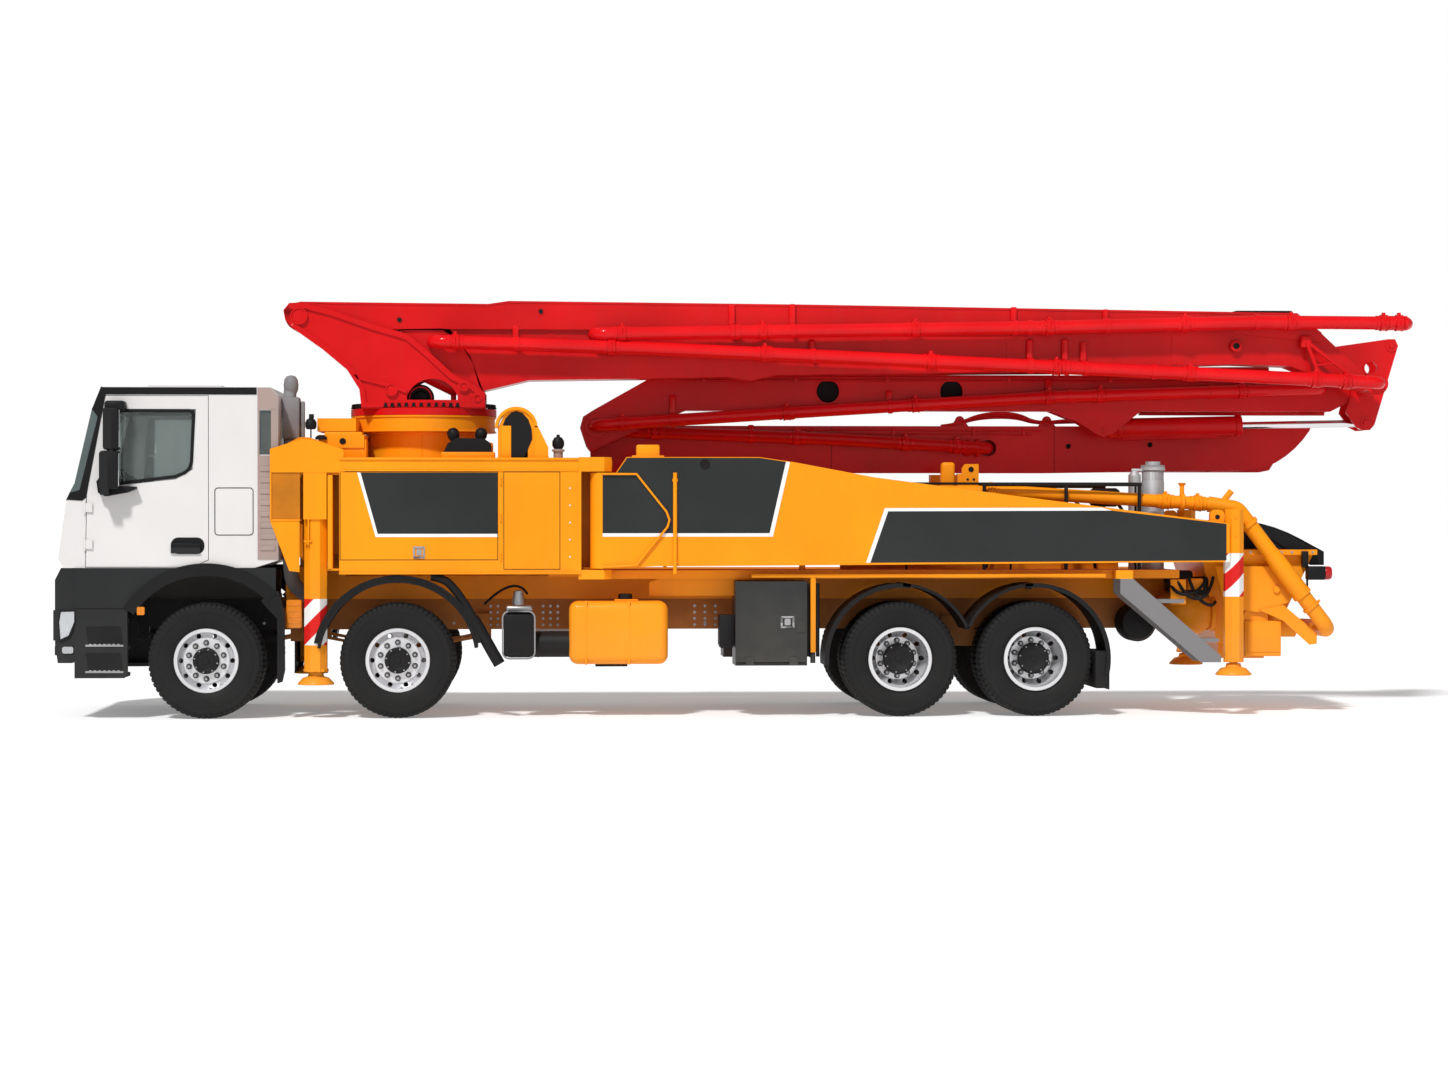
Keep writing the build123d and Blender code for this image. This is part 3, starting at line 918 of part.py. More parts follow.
# Rocker: two plates about the pin of hinge 1-2, tied by tubes, that hold the rod's eye
ROCKER_SIDE = [(5829, 3520), (5850, 3550), (6370, 3625), (6440, 3625), (6470, 3560), (6235, 2780),
               (6190, 2730), (6120, 2725), (6050, 2760), (5950, 2900), (6000, 3090), (5990, 3250), (5900, 3400)]
ROCKER_Y = ((78.0, 103.0), (357.0, 382.0))
ROCKER_BOSS = (6405.0, 3558.0)
with BuildPart() as arm_2_rocker:
    for y0, y1 in ROCKER_Y:
        slab(ROCKER_SIDE, y0, y1)
        cross_bar(6195, 3340, y0 - 1, y1 + 1, 62, Mode.SUBTRACT)
    cross_bar(*HINGE_12, ROCKER_Y[0][0] - 5, ROCKER_Y[1][1] + 5, PIN_12_R + FIT, Mode.SUBTRACT)
    cross_bar(*ROCKER_BOSS, ROCKER_Y[0][0], ROCKER_Y[1][1], 40)
    for x, z, r in ((*ROCKER_BOSS, 58), (*CYL2_EYE, 58)):
        cross_bar(x, z, ROCKER_Y[0][0] - 8, ROCKER_Y[0][0] + 1, r)
        cross_bar(x, z, ROCKER_Y[1][1] - 1, ROCKER_Y[1][1] + 8, r)
    for y0, y1 in ((ROCKER_Y[0][0], CYL2_MID_Y - 45 - RUN), (CYL2_MID_Y + 45 + RUN, ROCKER_Y[1][1])):
        cross_bar(*CYL2_EYE, y0, y1, EYE_PIN_R)
save(arm_2_rocker.part, "arm_2_rocker")

# Hopper: open bin on the rear of the frame, with the outlet at the foot of its back wall
BIN_TOP = (4330.0, 5430.0, 815.0, 1560.0)
BIN_LOW = (4560.0, 5080.0, 420.0, 640.0)
BIN_WALL = 20.0
LID_HINGE = (5475.0, 1562.0)
OUTLET_Z = 800.0
OUTLET_X = 5420.0


def bin_loft(inset, z_low, mode=Mode.ADD):
    """Tapered bin body, inset by a wall."""
    x0, x1, half_y, z = BIN_TOP
    with BuildSketch(Plane.XY.offset(z + inset / 20)) as top:
        with Locations(((x0 + x1) / 2, 0)):
            Rectangle(x1 - x0 - 2 * inset, 2 * (half_y - inset))
    x0, x1, half_y, z = BIN_LOW
    with BuildSketch(Plane.XY.offset(z_low)) as low:
        with Locations(((x0 + x1) / 2, 0)):
            Rectangle(x1 - x0 - 2 * inset, 2 * (half_y - inset))
    loft([low.sketch.face(), top.sketch.face()], ruled=True, mode=mode)


with BuildPart() as hopper:
    bin_loft(0, BIN_LOW[3])
    block(BIN_TOP[0] - 15, BIN_TOP[1] + 15, -BIN_TOP[2] - 15, BIN_TOP[2] + 15, BIN_TOP[3] - 50, BIN_TOP[3])
    long_bar(0, OUTLET_Z, 5080, OUTLET_X, 105)
    block(4600, 5050, -300, 300, 500, 645)
    for side in SIDES.values():
        y0, y1 = sorted((side * (RAIL_Y + FIT), side * (RAIL_Y + 30)))
        slab([(4100, 830), (4600, 760), (4600, 1300), (4100, 1060)], y0, y1)
        y0, y1 = sorted((side * 520, side * 545))
        block(5440, 5490, y0, y1, 1530, 1580)
    for side in SIDES.values():
        pad_y = sorted((side * 500, side * 790))
        block(4700, 5000, pad_y[0], pad_y[1], 1000, 1120)
        cross_bar(4860, 900, pad_y[0], pad_y[1], 120)
    block(4740, 5110, -430, 430, 560, 720)
    cross_bar(*LID_HINGE, -522, 522, 10)
    bin_loft(BIN_WALL, BIN_LOW[3] + BIN_WALL, Mode.SUBTRACT)
save(hopper.part, "hopper")
with BuildPart() as hopper_lid:
    slab([(4700, 1838), (5440, 1596), (5440, 1576), (4700, 1816)], -700, 700)
    for y in (-700, 685):
        slab([(4700, 1830), (5430, 1590), (5430, 1569), (4700, 1569)], y, y + 15)
    for y in (-460, 380):
        cross_bar(*LID_HINGE, y, y + 80, 22)
        slab([(5425, 1580), (5425, 1598), (5475, 1584), (5475, 1570), (5452, 1570)], y, y + 80)
        cross_bar(*LID_HINGE, y - 1, y + 81, 10 + FIT, Mode.SUBTRACT)
save(hopper_lid.part, "hopper_lid")

# Pump: hydraulic and conveying cylinders, water box and the delivery line to the pedestal
DELIVERY_Y = -925.0
with BuildPart() as pump_unit:
    for side in SIDES.values():
        long_bar(side * 170, 1190, 1200, 4395, 100)
        long_bar(side * 170, 1190, -1400, 910, 80)
    for x0, x1 in ((-1420, -1340), (900, 1210), (4180, 4240)):
        block(x0, x1, -RAIL_Y + RAIL_W + FIT, RAIL_Y - RAIL_W - FIT, 1095, 1290)
    pipe_run([(4380, -870, 1995), (4650, DELIVERY_Y, 1950), (5530, DELIVERY_Y, OUTLET_Z),
              (5540, 0, OUTLET_Z), (OUTLET_X + FIT, 0, OUTLET_Z)], 75, 110)
    pipe_run([(-2570, -200, 2107), (-1650, -480, 2107), (-1100, -870, 2107), (2520, -870, 2107),
              (4400, -870, 1994)], 62, 120)
    for x in (500, 3000):
        post(x, -870, 1369 + FIT + 2, 2060, 30)
save(pump_unit.part, "pump_unit")
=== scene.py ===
# %% [markdown]
# A concrete pump truck, dressed for its portrait
#
# The CAD frame brings every solid of the truck in its true place and size. This lesson adds what
# a solid model leaves out: paint that has lived outdoors, rubber with a tread, glass, bolts, pipe
# couplings, lamps, handles and the grey panels along the side. The scene is in metres, while the
# small pieces are drawn in millimetres, as on a workshop sheet. The truck drives towards -X, and its
# left side, the one that the camera sees, is -Y.

# %% Load the fixed frame
import bpy
import bmesh
from math import cos, pi, radians, sin, tan
from mathutils import Matrix, Vector


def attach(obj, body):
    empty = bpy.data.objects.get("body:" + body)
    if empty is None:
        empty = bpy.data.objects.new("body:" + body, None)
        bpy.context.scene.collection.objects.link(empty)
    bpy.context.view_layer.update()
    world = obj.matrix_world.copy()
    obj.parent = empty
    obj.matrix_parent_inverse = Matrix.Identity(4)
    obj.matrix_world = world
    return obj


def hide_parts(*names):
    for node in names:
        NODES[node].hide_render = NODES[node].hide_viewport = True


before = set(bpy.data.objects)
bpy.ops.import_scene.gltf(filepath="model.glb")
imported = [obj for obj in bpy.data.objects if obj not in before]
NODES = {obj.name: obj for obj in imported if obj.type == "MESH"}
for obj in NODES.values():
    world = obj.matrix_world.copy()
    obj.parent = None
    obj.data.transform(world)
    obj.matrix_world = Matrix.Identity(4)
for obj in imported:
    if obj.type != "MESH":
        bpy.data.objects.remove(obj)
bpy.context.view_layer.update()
LEFT, RIGHT = -1, 1
SIDES = {"left": LEFT, "right": RIGHT}

# %% [markdown]
# The photograph was taken from far away with a long lens, a little above a wheel's height and
# opposite the front third of the truck. A long lens keeps the boom straight. The camera here is
# turned towards the rear instead of shifted, so that every other view of the truck stays whole.

# %% Camera
CAMERA_SPOT = Vector((-1.94, -31.25, 1.87))
CAMERA_TURN = 3.20       # degrees towards the rear
CAMERA_TILT = -0.46      # degrees, downwards
LENS_MM = 80.0

look = Vector((sin(radians(CAMERA_TURN)), cos(radians(CAMERA_TURN)), tan(radians(CAMERA_TILT))))
camera_data = bpy.data.cameras.new("camera")
camera_data.lens = LENS_MM
camera_data.sensor_width = 36.0
camera_data.clip_end = 400.0
camera = bpy.data.objects.new("camera", camera_data)
camera.location = CAMERA_SPOT
camera.rotation_euler = look.to_track_quat("-Z", "Y").to_euler()
bpy.context.scene.collection.objects.link(camera)
bpy.context.scene.camera = camera

# %% [markdown]
# Every finish is a small web of nodes, and so is the tree that makes the bolts. One tool adds a node,
# sets or links its inputs and hands back the output that the next node wants.

# %% Wiring tools
SHADER = "Principled BSDF"


def feed(tree, node, sockets):
    """Set the inputs of a node to plain values, or link them to the outputs of other nodes."""
    for key, value in sockets.items():
        if isinstance(value, bpy.types.NodeSocket):
            tree.links.new(value, node.inputs[key])
        else:
            node.inputs[key].default_value = value


def wire(tree, kind, result, sockets, **options):
    """Add a node with its options and inputs, and give back one of its outputs."""
    node = tree.nodes.new(kind if "Node" in kind else "ShaderNode" + kind)
    for key, value in options.items():
        setattr(node, key, value)
    feed(tree, node, sockets)
    return node.outputs[result]


def calc(tree, operation, *values):
    """Result of a sum on values or outputs."""
    return wire(tree, "Math", "Value", dict(enumerate(values)), operation=operation)


def spread_out(tree, value, **limits):
    """Output moved from one range to another, its limits named as on the node with _ for a space."""
    return wire(tree, "MapRange", "Result",
                {"Value": value, **{key.replace("_", " "): limit for key, limit in limits.items()}})


def noise(tree, place, scale, detail):
    """Cloudy noise over places."""
    return wire(tree, "TexNoise", "Fac", {"Scale": scale, "Detail": detail, "Vector": place})


def lay_over(tree, share, below, colour):
    """Plain colour over another one, by a share from 0 to 1."""
    return wire(tree, "Mix", "Result", {"B": (*colour, 1), "Factor": share, "A": below}, data_type="RGBA")


def raise_bump(tree, height, strength):
    """Show a height as a fine bump of the surface."""
    normal = wire(tree, "Bump", "Normal", {"Strength": strength, "Distance": 0.004, "Height": height})
    feed(tree, tree.nodes[SHADER], {"Normal": normal})


def new_material(name):
    """Empty material, its node tree and the place of each point on the truck, in metres."""
    material = bpy.data.materials.new(name)
    material.use_nodes = True
    tree = material.node_tree
    return material, tree, wire(tree, "TexCoord", "Object", {})


# %% [markdown]
# The studio is a pale floor, a bright even sky and one large soft sun high on the left, in front
# of the truck, as in the photograph, where the undersides of the boom are dark and its tops shine.

# %% Floor and light
HALF_FLOOR = 200.0
FLOOR_Z = -0.002
SKY_LIGHT = 0.27
WHITE_LIGHT = (1.0, 1.0, 1.0, 1)
floor_mesh = bpy.data.meshes.new("floor")
floor_mesh.from_pydata([(x * HALF_FLOOR, y * HALF_FLOOR, FLOOR_Z) for x, y in ((-1, -1), (1, -1), (1, 1), (-1, 1))],
                       [], [(0, 1, 2, 3)])
floor = bpy.data.objects.new("floor", floor_mesh)
bpy.context.scene.collection.objects.link(floor)
floor_finish = bpy.data.materials.new("pale_floor")
floor_finish.use_nodes = True
feed(floor_finish.node_tree, floor_finish.node_tree.nodes[SHADER],
     {"Base Color": (0.90, 0.90, 0.90, 1), "Emission Color": WHITE_LIGHT, "Emission Strength": 0.22, "Roughness": 0.9})
floor_mesh.materials.append(floor_finish)

world = bpy.data.worlds.new("studio")
bpy.context.scene.world = world
world.use_nodes = True
camera_ray = wire(world.node_tree, "LightPath", "Is Camera Ray", {})
brightness = spread_out(world.node_tree, camera_ray, To_Min=SKY_LIGHT, To_Max=1.0)
feed(world.node_tree, world.node_tree.nodes["Background"], {"Color": WHITE_LIGHT, "Strength": brightness})


def soft_sun(name, strength, direction, spread):
    """Sun lamp that shines along a direction, with soft shadow edges."""
    data = bpy.data.lights.new(name, "SUN")
    data.energy = strength
    data.angle = radians(spread)
    lamp = bpy.data.objects.new(name, data)
    lamp.rotation_euler = Vector(direction).to_track_quat("-Z", "Y").to_euler()
    bpy.context.scene.collection.objects.link(lamp)


soft_sun("key", 2.9, (0.35, 0.80, -1.0), 6)
soft_sun("side_fill", 0.24, (-0.3, 1.0, -0.25), 40)
bpy.context.scene.view_settings.view_transform = "Standard"

# %% [markdown]
# Paint is a colour under a clear coat. On a machine it is never even: the sun bleaches patches, dust
# settles from below, and rain leaves faint streaks. All of that is worked out from the place on the
# truck, in metres, so a pattern never slides when a piece moves with its body.

# %% Paint and other finishes
FINISHES = {}
PATCH_EDGES = (0.35, 0.68)
DUST = (0.33, 0.29, 0.24)


def finish(name, colour, roughness, metallic=0.0, coat=0.0, patch=0.12, patch_size=1.3, grain=0.0,
           grain_size=90.0, dust=0.0, streak=0.0, shine=0.2):
    """Material with patches, rain streaks, dust from below and a fine bump, all in object space."""
    material, tree, place = new_material(name)
    cloud = noise(tree, place, patch_size, 5.0)
    shades = tree.nodes.new("ShaderNodeValToRGB")
    for stop, edge, share in zip(shades.color_ramp.elements, PATCH_EDGES, (1 - patch, 1 + patch * 0.6)):
        stop.position = edge
        stop.color = (*[min(1.0, c * share) for c in colour], 1)
    feed(tree, shades, {"Fac": cloud})
    paint = shades.outputs["Color"]
    if streak:
        falling = wire(tree, "Mapping", "Vector", {"Scale": (9.0, 9.0, 0.6), "Vector": place})
        rain = spread_out(tree, noise(tree, falling, 1.0, 3.0), From_Min=0.52, From_Max=0.75, To_Max=streak)
        paint = lay_over(tree, rain, paint, [c * 0.55 + 0.03 for c in colour])
    if dust:
        height = wire(tree, "SeparateXYZ", "Z", {"Vector": place})
        settled = spread_out(tree, height, From_Min=0.15, From_Max=1.5, To_Min=dust, To_Max=0.0)
        paint = lay_over(tree, calc(tree, "MULTIPLY", settled, noise(tree, place, 4.0, 8.0)), paint, DUST)
    gloss = spread_out(tree, cloud, To_Min=roughness * 0.8, To_Max=min(1.0, roughness * 1.25))
    feed(tree, tree.nodes[SHADER], {"Metallic": metallic, "Coat Weight": coat, "Coat Roughness": 0.08,
                                    "Specular IOR Level": shine, "Base Color": paint, "Roughness": gloss})
    if grain:
        raise_bump(tree, noise(tree, place, grain_size, 3.0), grain)
    FINISHES[name] = material
    return material


ORANGE = (0.90, 0.300, 0.006)
orange_paint = finish("orange_paint", ORANGE, 0.36, coat=0.03, shine=0.12, grain=0.05, dust=0.18, streak=0.10,
                      patch=0.08)
red_paint = finish("red_paint", (0.62, 0.006, 0.008), 0.30, coat=0.07, shine=0.12, grain=0.05, streak=0.12,
                   patch=0.14)
pipe_red = finish("pipe_red", (0.70, 0.006, 0.009), 0.20, coat=0.13, shine=0.12, streak=0.06, patch=0.10)
white_paint = finish("white_paint", (0.68, 0.665, 0.655), 0.28, coat=0.4, grain=0.03, dust=0.2, streak=0.03,
                     patch=0.03)
grey_paint = finish("grey_paint", (0.021, 0.023, 0.0235), 0.42, coat=0.05, grain=0.05, dust=0.25, patch=0.15)
black_plastic = finish("black_plastic", (0.009, 0.009, 0.010), 0.5, shine=0.15, grain=0.2, grain_size=260,
                       dust=0.05, patch=0.2)
bumper_grey = finish("bumper_grey", (0.016, 0.017, 0.018), 0.5, grain=0.1, dust=0.06, patch=0.15)
tyre_rubber = finish("tyre_rubber", (0.009, 0.009, 0.0095), 0.7, grain=0.3, grain_size=160, dust=0.03, patch=0.25,
                     patch_size=3.0, shine=0.2)
rim_silver = finish("rim_silver", (0.74, 0.74, 0.76), 0.26, metallic=0.6, grain=0.06, dust=0.12, patch=0.12)
bare_steel = finish("bare_steel", (0.42, 0.42, 0.43), 0.38, metallic=0.9, grain=0.15, dust=0.2, patch=0.25)
galvanised = finish("galvanised", (0.50, 0.51, 0.52), 0.5, metallic=0.6, grain=0.2, dust=0.15, patch=0.10,
                    patch_size=3)
cast_steel = finish("cast_steel", (0.08, 0.078, 0.075), 0.7, metallic=0.4, grain=0.5, dust=0.4, patch=0.3)
polished_rod = finish("polished_rod", (0.75, 0.75, 0.77), 0.12, metallic=1.0, patch=0.05)
stripe_white = finish("stripe_white", (0.80, 0.80, 0.79), 0.4, coat=0.2, patch=0.04)
seat_cloth = finish("seat_cloth", (0.045, 0.047, 0.052), 0.9, grain=0.6, grain_size=700, patch=0.2, patch_size=6)
mirror_glass = finish("mirror_glass", (0.75, 0.78, 0.80), 0.04, metallic=1.0, patch=0.02)
# Near-black for the insides of holes, gaps, windows and nut recesses: painted shade.
hole_shade = finish("hole_shade", (0.012, 0.010, 0.010), 0.9, patch=0.2)
strip_grey = finish("strip_grey", (0.36, 0.27, 0.24), 0.45, coat=0.1, grain=0.1, patch=0.10)
intake_grey = finish("intake_grey", (0.22, 0.21, 0.215), 0.5, grain=0.2, patch=0.12, patch_size=5)
# A darker orange for the frame rails: painted shade of the orange paint under the body, with real dust from below.
shaded_frame_orange = finish("shaded_frame_orange", (0.40, 0.130, 0.010), 0.55, grain=0.2, dust=0.4, patch=0.22, patch_size=3)
# A darker orange for sheets laid in recesses: painted shade.
shaded_recess_orange = finish("shaded_recess_orange", (0.56, 0.180, 0.006), 0.5, grain=0.1, dust=0.2, patch=0.20, patch_size=3)
tinted_glass = finish("tinted_glass", (0.085, 0.115, 0.112), 0.10, coat=0.6, patch=0.25, patch_size=1.2, shine=0.6)
print("finishes:", ", ".join(sorted(FINISHES)))

# %% [markdown]
# Glass and lamp lenses let light through. A cab window is faintly green and dark inside, while an
# amber or red lens is coloured all through. The ribs of a lens are a wave in its bump.

# %% Glass and lenses


def clear_finish(name, colour, roughness, through, ribs=0.0):
    """Glass or lens plastic, with moulded ribs where it has them."""
    material, tree, place = new_material(name)
    smear = wire(tree, "TexNoise", "Fac", {"Scale": 3.0, "Vector": place})
    gloss = spread_out(tree, smear, To_Min=roughness, To_Max=roughness + 0.06)
    feed(tree, tree.nodes[SHADER], {"Base Color": (*colour, 1), "Transmission Weight": through, "IOR": 1.45,
                                    "Roughness": gloss})
    if ribs:
        raise_bump(tree, wire(tree, "TexWave", "Fac", {"Scale": 22.0, "Vector": place}), ribs)
    FINISHES[name] = material
    return material


window_glass = clear_finish("window_glass", (0.70, 0.78, 0.76), 0.02, 0.92)
clear_lens = clear_finish("clear_lens", (0.90, 0.92, 0.95), 0.08, 0.55, ribs=0.5)
amber_lens = clear_finish("amber_lens", (0.95, 0.30, 0.01), 0.15, 0.35, ribs=0.4)
red_lens = clear_finish("red_lens", (0.60, 0.01, 0.01), 0.15, 0.35, ribs=0.4)

# %% [markdown]
# Some painted parts carry more than one colour. The jack sleeves end in red and white warning
# stripes that climb at forty-five degrees, and each door carries black mirrors, handle and hinges
# outside its white skin. One material does each by asking where on the truck a point lies.

# %% Striped sleeves and two-coloured parts
FAR = 50.0
ANYWHERE = (-FAR, FAR)


def along(tree, axis):
    """Place of each point along one axis, in metres."""
    return wire(tree, "SeparateXYZ", axis, {"Vector": wire(tree, "TexCoord", "Object", {})})


def between(tree, axis, low, high):
    """Share that is 1 between two limits of a coordinate, and 0 elsewhere; along Y on both sides."""
    spot = along(tree, axis)
    if axis == "Y":
        spot = calc(tree, "ABSOLUTE", spot)
    return calc(tree, "MULTIPLY", calc(tree, "GREATER_THAN", spot, low), calc(tree, "LESS_THAN", spot, high))


def colour_over(tree, share, colour):
    """Lay a plain colour over whatever feeds the shader, where share is 1."""
    socket = tree.nodes[SHADER].inputs["Base Color"]
    tree.links.new(lay_over(tree, share, socket.links[0].from_socket, colour), socket)


def zoned(name, base, *zones):
    """Copy of a finish with another colour inside boxes, each given by its three pairs of limits."""
    material = base.copy()
    material.name = name
    tree = material.node_tree
    for x_limits, y_limits, z_limits, colour in zones:
        share = calc(tree, "MULTIPLY", between(tree, "X", *x_limits), between(tree, "Y", *y_limits))
        colour_over(tree, calc(tree, "MULTIPLY", share, between(tree, "Z", *z_limits)), colour)
    FINISHES[name] = material
    return material


BAND_WIDTH = 0.085


def striped_sleeve(name, z0, z1, from_x):
    """Orange paint with diagonal red and white bands between two heights, behind a place along the truck."""
    material = zoned(name, orange_paint, ((from_x, FAR), ANYWHERE, (z0, z1), (0.78, 0.78, 0.77)))
    tree = material.node_tree
    climb = calc(tree, "MULTIPLY_ADD", along(tree, "X"), -1.0, along(tree, "Z"))
    red = calc(tree, "GREATER_THAN", calc(tree, "PINGPONG", climb, BAND_WIDTH * 2), BAND_WIDTH)
    sleeve = calc(tree, "MULTIPLY", between(tree, "Z", z0, z1), between(tree, "X", from_x, FAR))
    colour_over(tree, calc(tree, "MULTIPLY", red, sleeve), (0.62, 0.015, 0.012))
    return material


BLACK = (0.012, 0.012, 0.013)
STEP_GREY = (0.20, 0.195, 0.20)
STACK_GREY = (0.27, 0.265, 0.27)
door_paint = zoned("door_paint", white_paint, (ANYWHERE, (1.2165, 2.0), (2.05, 3.2), BLACK),
                   ((-5.42, -5.05), (1.2165, 2.0), (1.50, 1.72), BLACK))
deck_paint = zoned("deck_paint", orange_paint, ((3.40, 4.50), (0.80, 1.30), (0.0, 1.289), STEP_GREY),
                   ((3.78, 4.03), (0.45, 0.75), (1.372, 2.6), STACK_GREY),
                   (ANYWHERE, (0.955, 1.01), (1.372, 2.3), BLACK))
housing_paint = zoned("housing_paint", orange_paint, ((-4.40, -4.26), (0.69, 0.83), (2.50, 3.3), STACK_GREY))
# The frame rails wear the darker orange of painted shade, and black in front.
shaded_rail_paint = zoned("shaded_rail_paint", shaded_frame_orange, ((-FAR, -4.46), (0.0, 2.0), ANYWHERE, BLACK))
front_sleeve = striped_sleeve("front_sleeve", 0.68, 1.11, -FAR)
rear_sleeve = striped_sleeve("rear_sleeve", 1.12, 1.53, 4.47)

# %% [markdown]
# Every solid of the frame now gets its finish. Names that share a beginning share a finish, so the
# list stays short; the longest beginning wins, and the last line counts what was dressed.

# %% Dress the solids
DRESSED_IN = (
    (shaded_rail_paint, "chassis_frame"), (cast_steel, "engine_block front_axles rear_axles knuckle"), (rim_silver, "rim"),
    (tyre_rubber, "tyre"), (white_paint, "cab_shell"), (window_glass, "cab_windows"), (door_paint, "cab_door"),
    (seat_cloth, "cab_interior"), (bumper_grey, "front_bumper"), (black_plastic, "mudguards hopper_lid"),
    (grey_paint, "tool_box"), (housing_paint, "support_frame"), (deck_paint, "deck"), (front_sleeve, "front_leg"),
    (rear_sleeve, "rear_leg"), (orange_paint, "side_tanks front_jack rear_jack hopper pump_unit"),
    (red_paint, "turret arm_ lift_barrel"), (pipe_red, "arm_1_pipes arm_2_pipe"), (polished_rod, "arm_2_rod lift_rod"),
)
NODE_FINISH = {start: chosen for chosen, starts in DRESSED_IN for start in starts.split()}
for node_name, node in NODES.items():
    longest = max((start for start in NODE_FINISH if node_name.startswith(start)), key=len)
    node.data.materials.clear()
    node.data.materials.append(NODE_FINISH[longest])
print("dressed", len(NODES), "solids")

# %% [markdown]
# The small tools of this workshop: a box with softened edges, a round bar between two points, a flat
# plate cut to an outline, a ring, a lathe and a hose. Each adds to a mesh that is being built, in
# millimetres, and outlines are plain runs of numbers. The last tools turn a list of such shapes into
# a piece that rides on a body of the truck, or into a pair of pieces, one for each side.

# %% Workshop tools
ALONG, ACROSS, UP, NEAR = (1, 0, 0), (0, 1, 0), (0, 0, 1), (0, -1, 0)
MM = 0.001


def in_pairs(numbers):
    """Plain run of numbers, taken two by two."""
    return list(zip(numbers[::2], numbers[1::2]))


def turn_to(axis):
    """Turn that points +Z along an axis."""
    return Vector(axis).to_track_quat("Z", "Y").to_matrix()


def box(bm, x0, y0, z0, x1, y1, z1, soft=0, steps=2):
    """Box between two corners, its edges rounded by soft."""
    size = abs(x1 - x0), abs(y1 - y0), abs(z1 - z0)
    centre = (x0 + x1) / 2, (y0 + y1) / 2, (z0 + z1) / 2
    made = bmesh.ops.create_cube(bm, size=1.0, matrix=Matrix.Translation(centre) @ Matrix.Diagonal((*size, 1.0)))
    if soft:
        edges = list({edge for vert in made["verts"] for edge in vert.link_edges})
        bmesh.ops.bevel(bm, geom=edges, offset=min(soft, min(size) * 0.45), segments=steps, affect="EDGES", profile=0.5)


def bar(bm, x0, y0, z0, x1, y1, z1, radius, sides=28):
    """Round bar between two points."""
    start, end = Vector((x0, y0, z0)), Vector((x1, y1, z1))
    bmesh.ops.create_cone(bm, cap_ends=True, segments=sides, radius1=radius, radius2=radius,
                          depth=(end - start).length,
                          matrix=Matrix.Translation((start + end) / 2) @ turn_to(end - start).to_4x4())


def lathe(bm, x, y, z, axis, profile, sides=48):
    """Closed ring or disc turned about an axis from its radius and place along it, point by point."""
    turn, centre = turn_to(axis), Vector((x, y, z))
    rings = []
    for step in range(sides):
        angle = 2 * pi * step / sides
        rings.append([bm.verts.new(centre + turn @ Vector((radius * cos(angle), radius * sin(angle), place)))
                      for radius, place in in_pairs(profile)])
    join_rings(bm, rings)


def join_rings(bm, rings):
    """Faces between closed rings of points that stand in a circle."""
    for here, there in zip(rings, rings[1:] + rings[:1]):
        for k in range(len(here)):
            after = (k + 1) % len(here)
            bm.faces.new((here[k], there[k], there[after], here[after]))


def ring(bm, x, y, z, axis, outer, inner, width, sides=40):
    """Flat collar about an axis."""
    edge, half = min(width, outer - inner) * 0.2, width / 2
    lathe(bm, x, y, z, axis, (inner, -half, outer - edge, -half, outer, edge - half, outer, half - edge,
                              outer - edge, half, inner, half), sides)


def plate(bm, outline, y0, y1):
    """Plate cut to a side outline of x and z, from y0 to y1."""
    front, back = ([bm.verts.new((x, y, z)) for x, z in in_pairs(outline)] for y in (y0, y1))
    bm.faces.new(front)
    bm.faces.new(list(reversed(back)))
    for k in range(len(front)):
        after = (k + 1) % len(front)
        bm.faces.new((front[k], back[k], back[after], front[after]))


def frame_plate(bm, outline, width, y0, y1):
    """Band of even width just inside a side outline."""
    points = [Vector(point) for point in in_pairs(outline)]
    following = points[1:] + points[:1]
    flip = 1 if sum(here.x * there.y - there.x * here.y for here, there in zip(points, following)) > 0 else -1
    inner = []
    for last, here, there in zip(points[-1:] + points[:-1], points, following):
        to_next, to_last = (there - here).normalized(), (last - here).normalized()
        normal_next = Vector((-to_next.y, to_next.x)) * flip
        middle = (normal_next + Vector((to_last.y, -to_last.x)) * flip).normalized()
        inner.append(here + middle * (width / max(0.3, middle.dot(normal_next))))
    for k in range(len(points)):
        plate(bm, (*points[k], *following[k], *inner[(k + 1) % len(points)], *inner[k]), y0, y1)


def rounded(x0, z0, x1, z1, radius, steps=6):
    """Outline of a rectangle with round corners."""
    outline = []
    for cx, cz, start in ((x1 - radius, z1 - radius, 0), (x0 + radius, z1 - radius, 90),
                          (x0 + radius, z0 + radius, 180), (x1 - radius, z0 + radius, 270)):
        for step in range(steps + 1):
            angle = radians(start + 90 * step / steps)
            outline += [cx + radius * cos(angle), cz + radius * sin(angle)]
    return outline


def arc_band(x, z, inner, outer, angle0, angle1, steps=24):
    """Outline of an arched band about a centre, its angles measured from +X towards +Z."""
    outline = []
    for radius, first, last in ((outer, angle0, angle1), (inner, angle1, angle0)):
        for step in range(steps + 1):
            angle = radians(first + (last - first) * step / steps)
            outline += [x + radius * cos(angle), z + radius * sin(angle)]
    return outline


def build(shapes):
    """Mesh made of shapes, each a tool followed by what it is given."""
    bm = bmesh.new()
    for tool, *given in shapes:
        tool(bm, *given)
    return bm


def twins(bm, *shapes):
    """Shapes drawn for the right side, and the same on the left."""
    for side in SIDES.values():
        half = build(shapes)
        bmesh.ops.scale(half, vec=(1, side, 1), verts=half.verts)
        mesh = bpy.data.meshes.new("half")
        half.to_mesh(mesh)
        half.free()
        bm.from_mesh(mesh)
        bpy.data.meshes.remove(mesh)


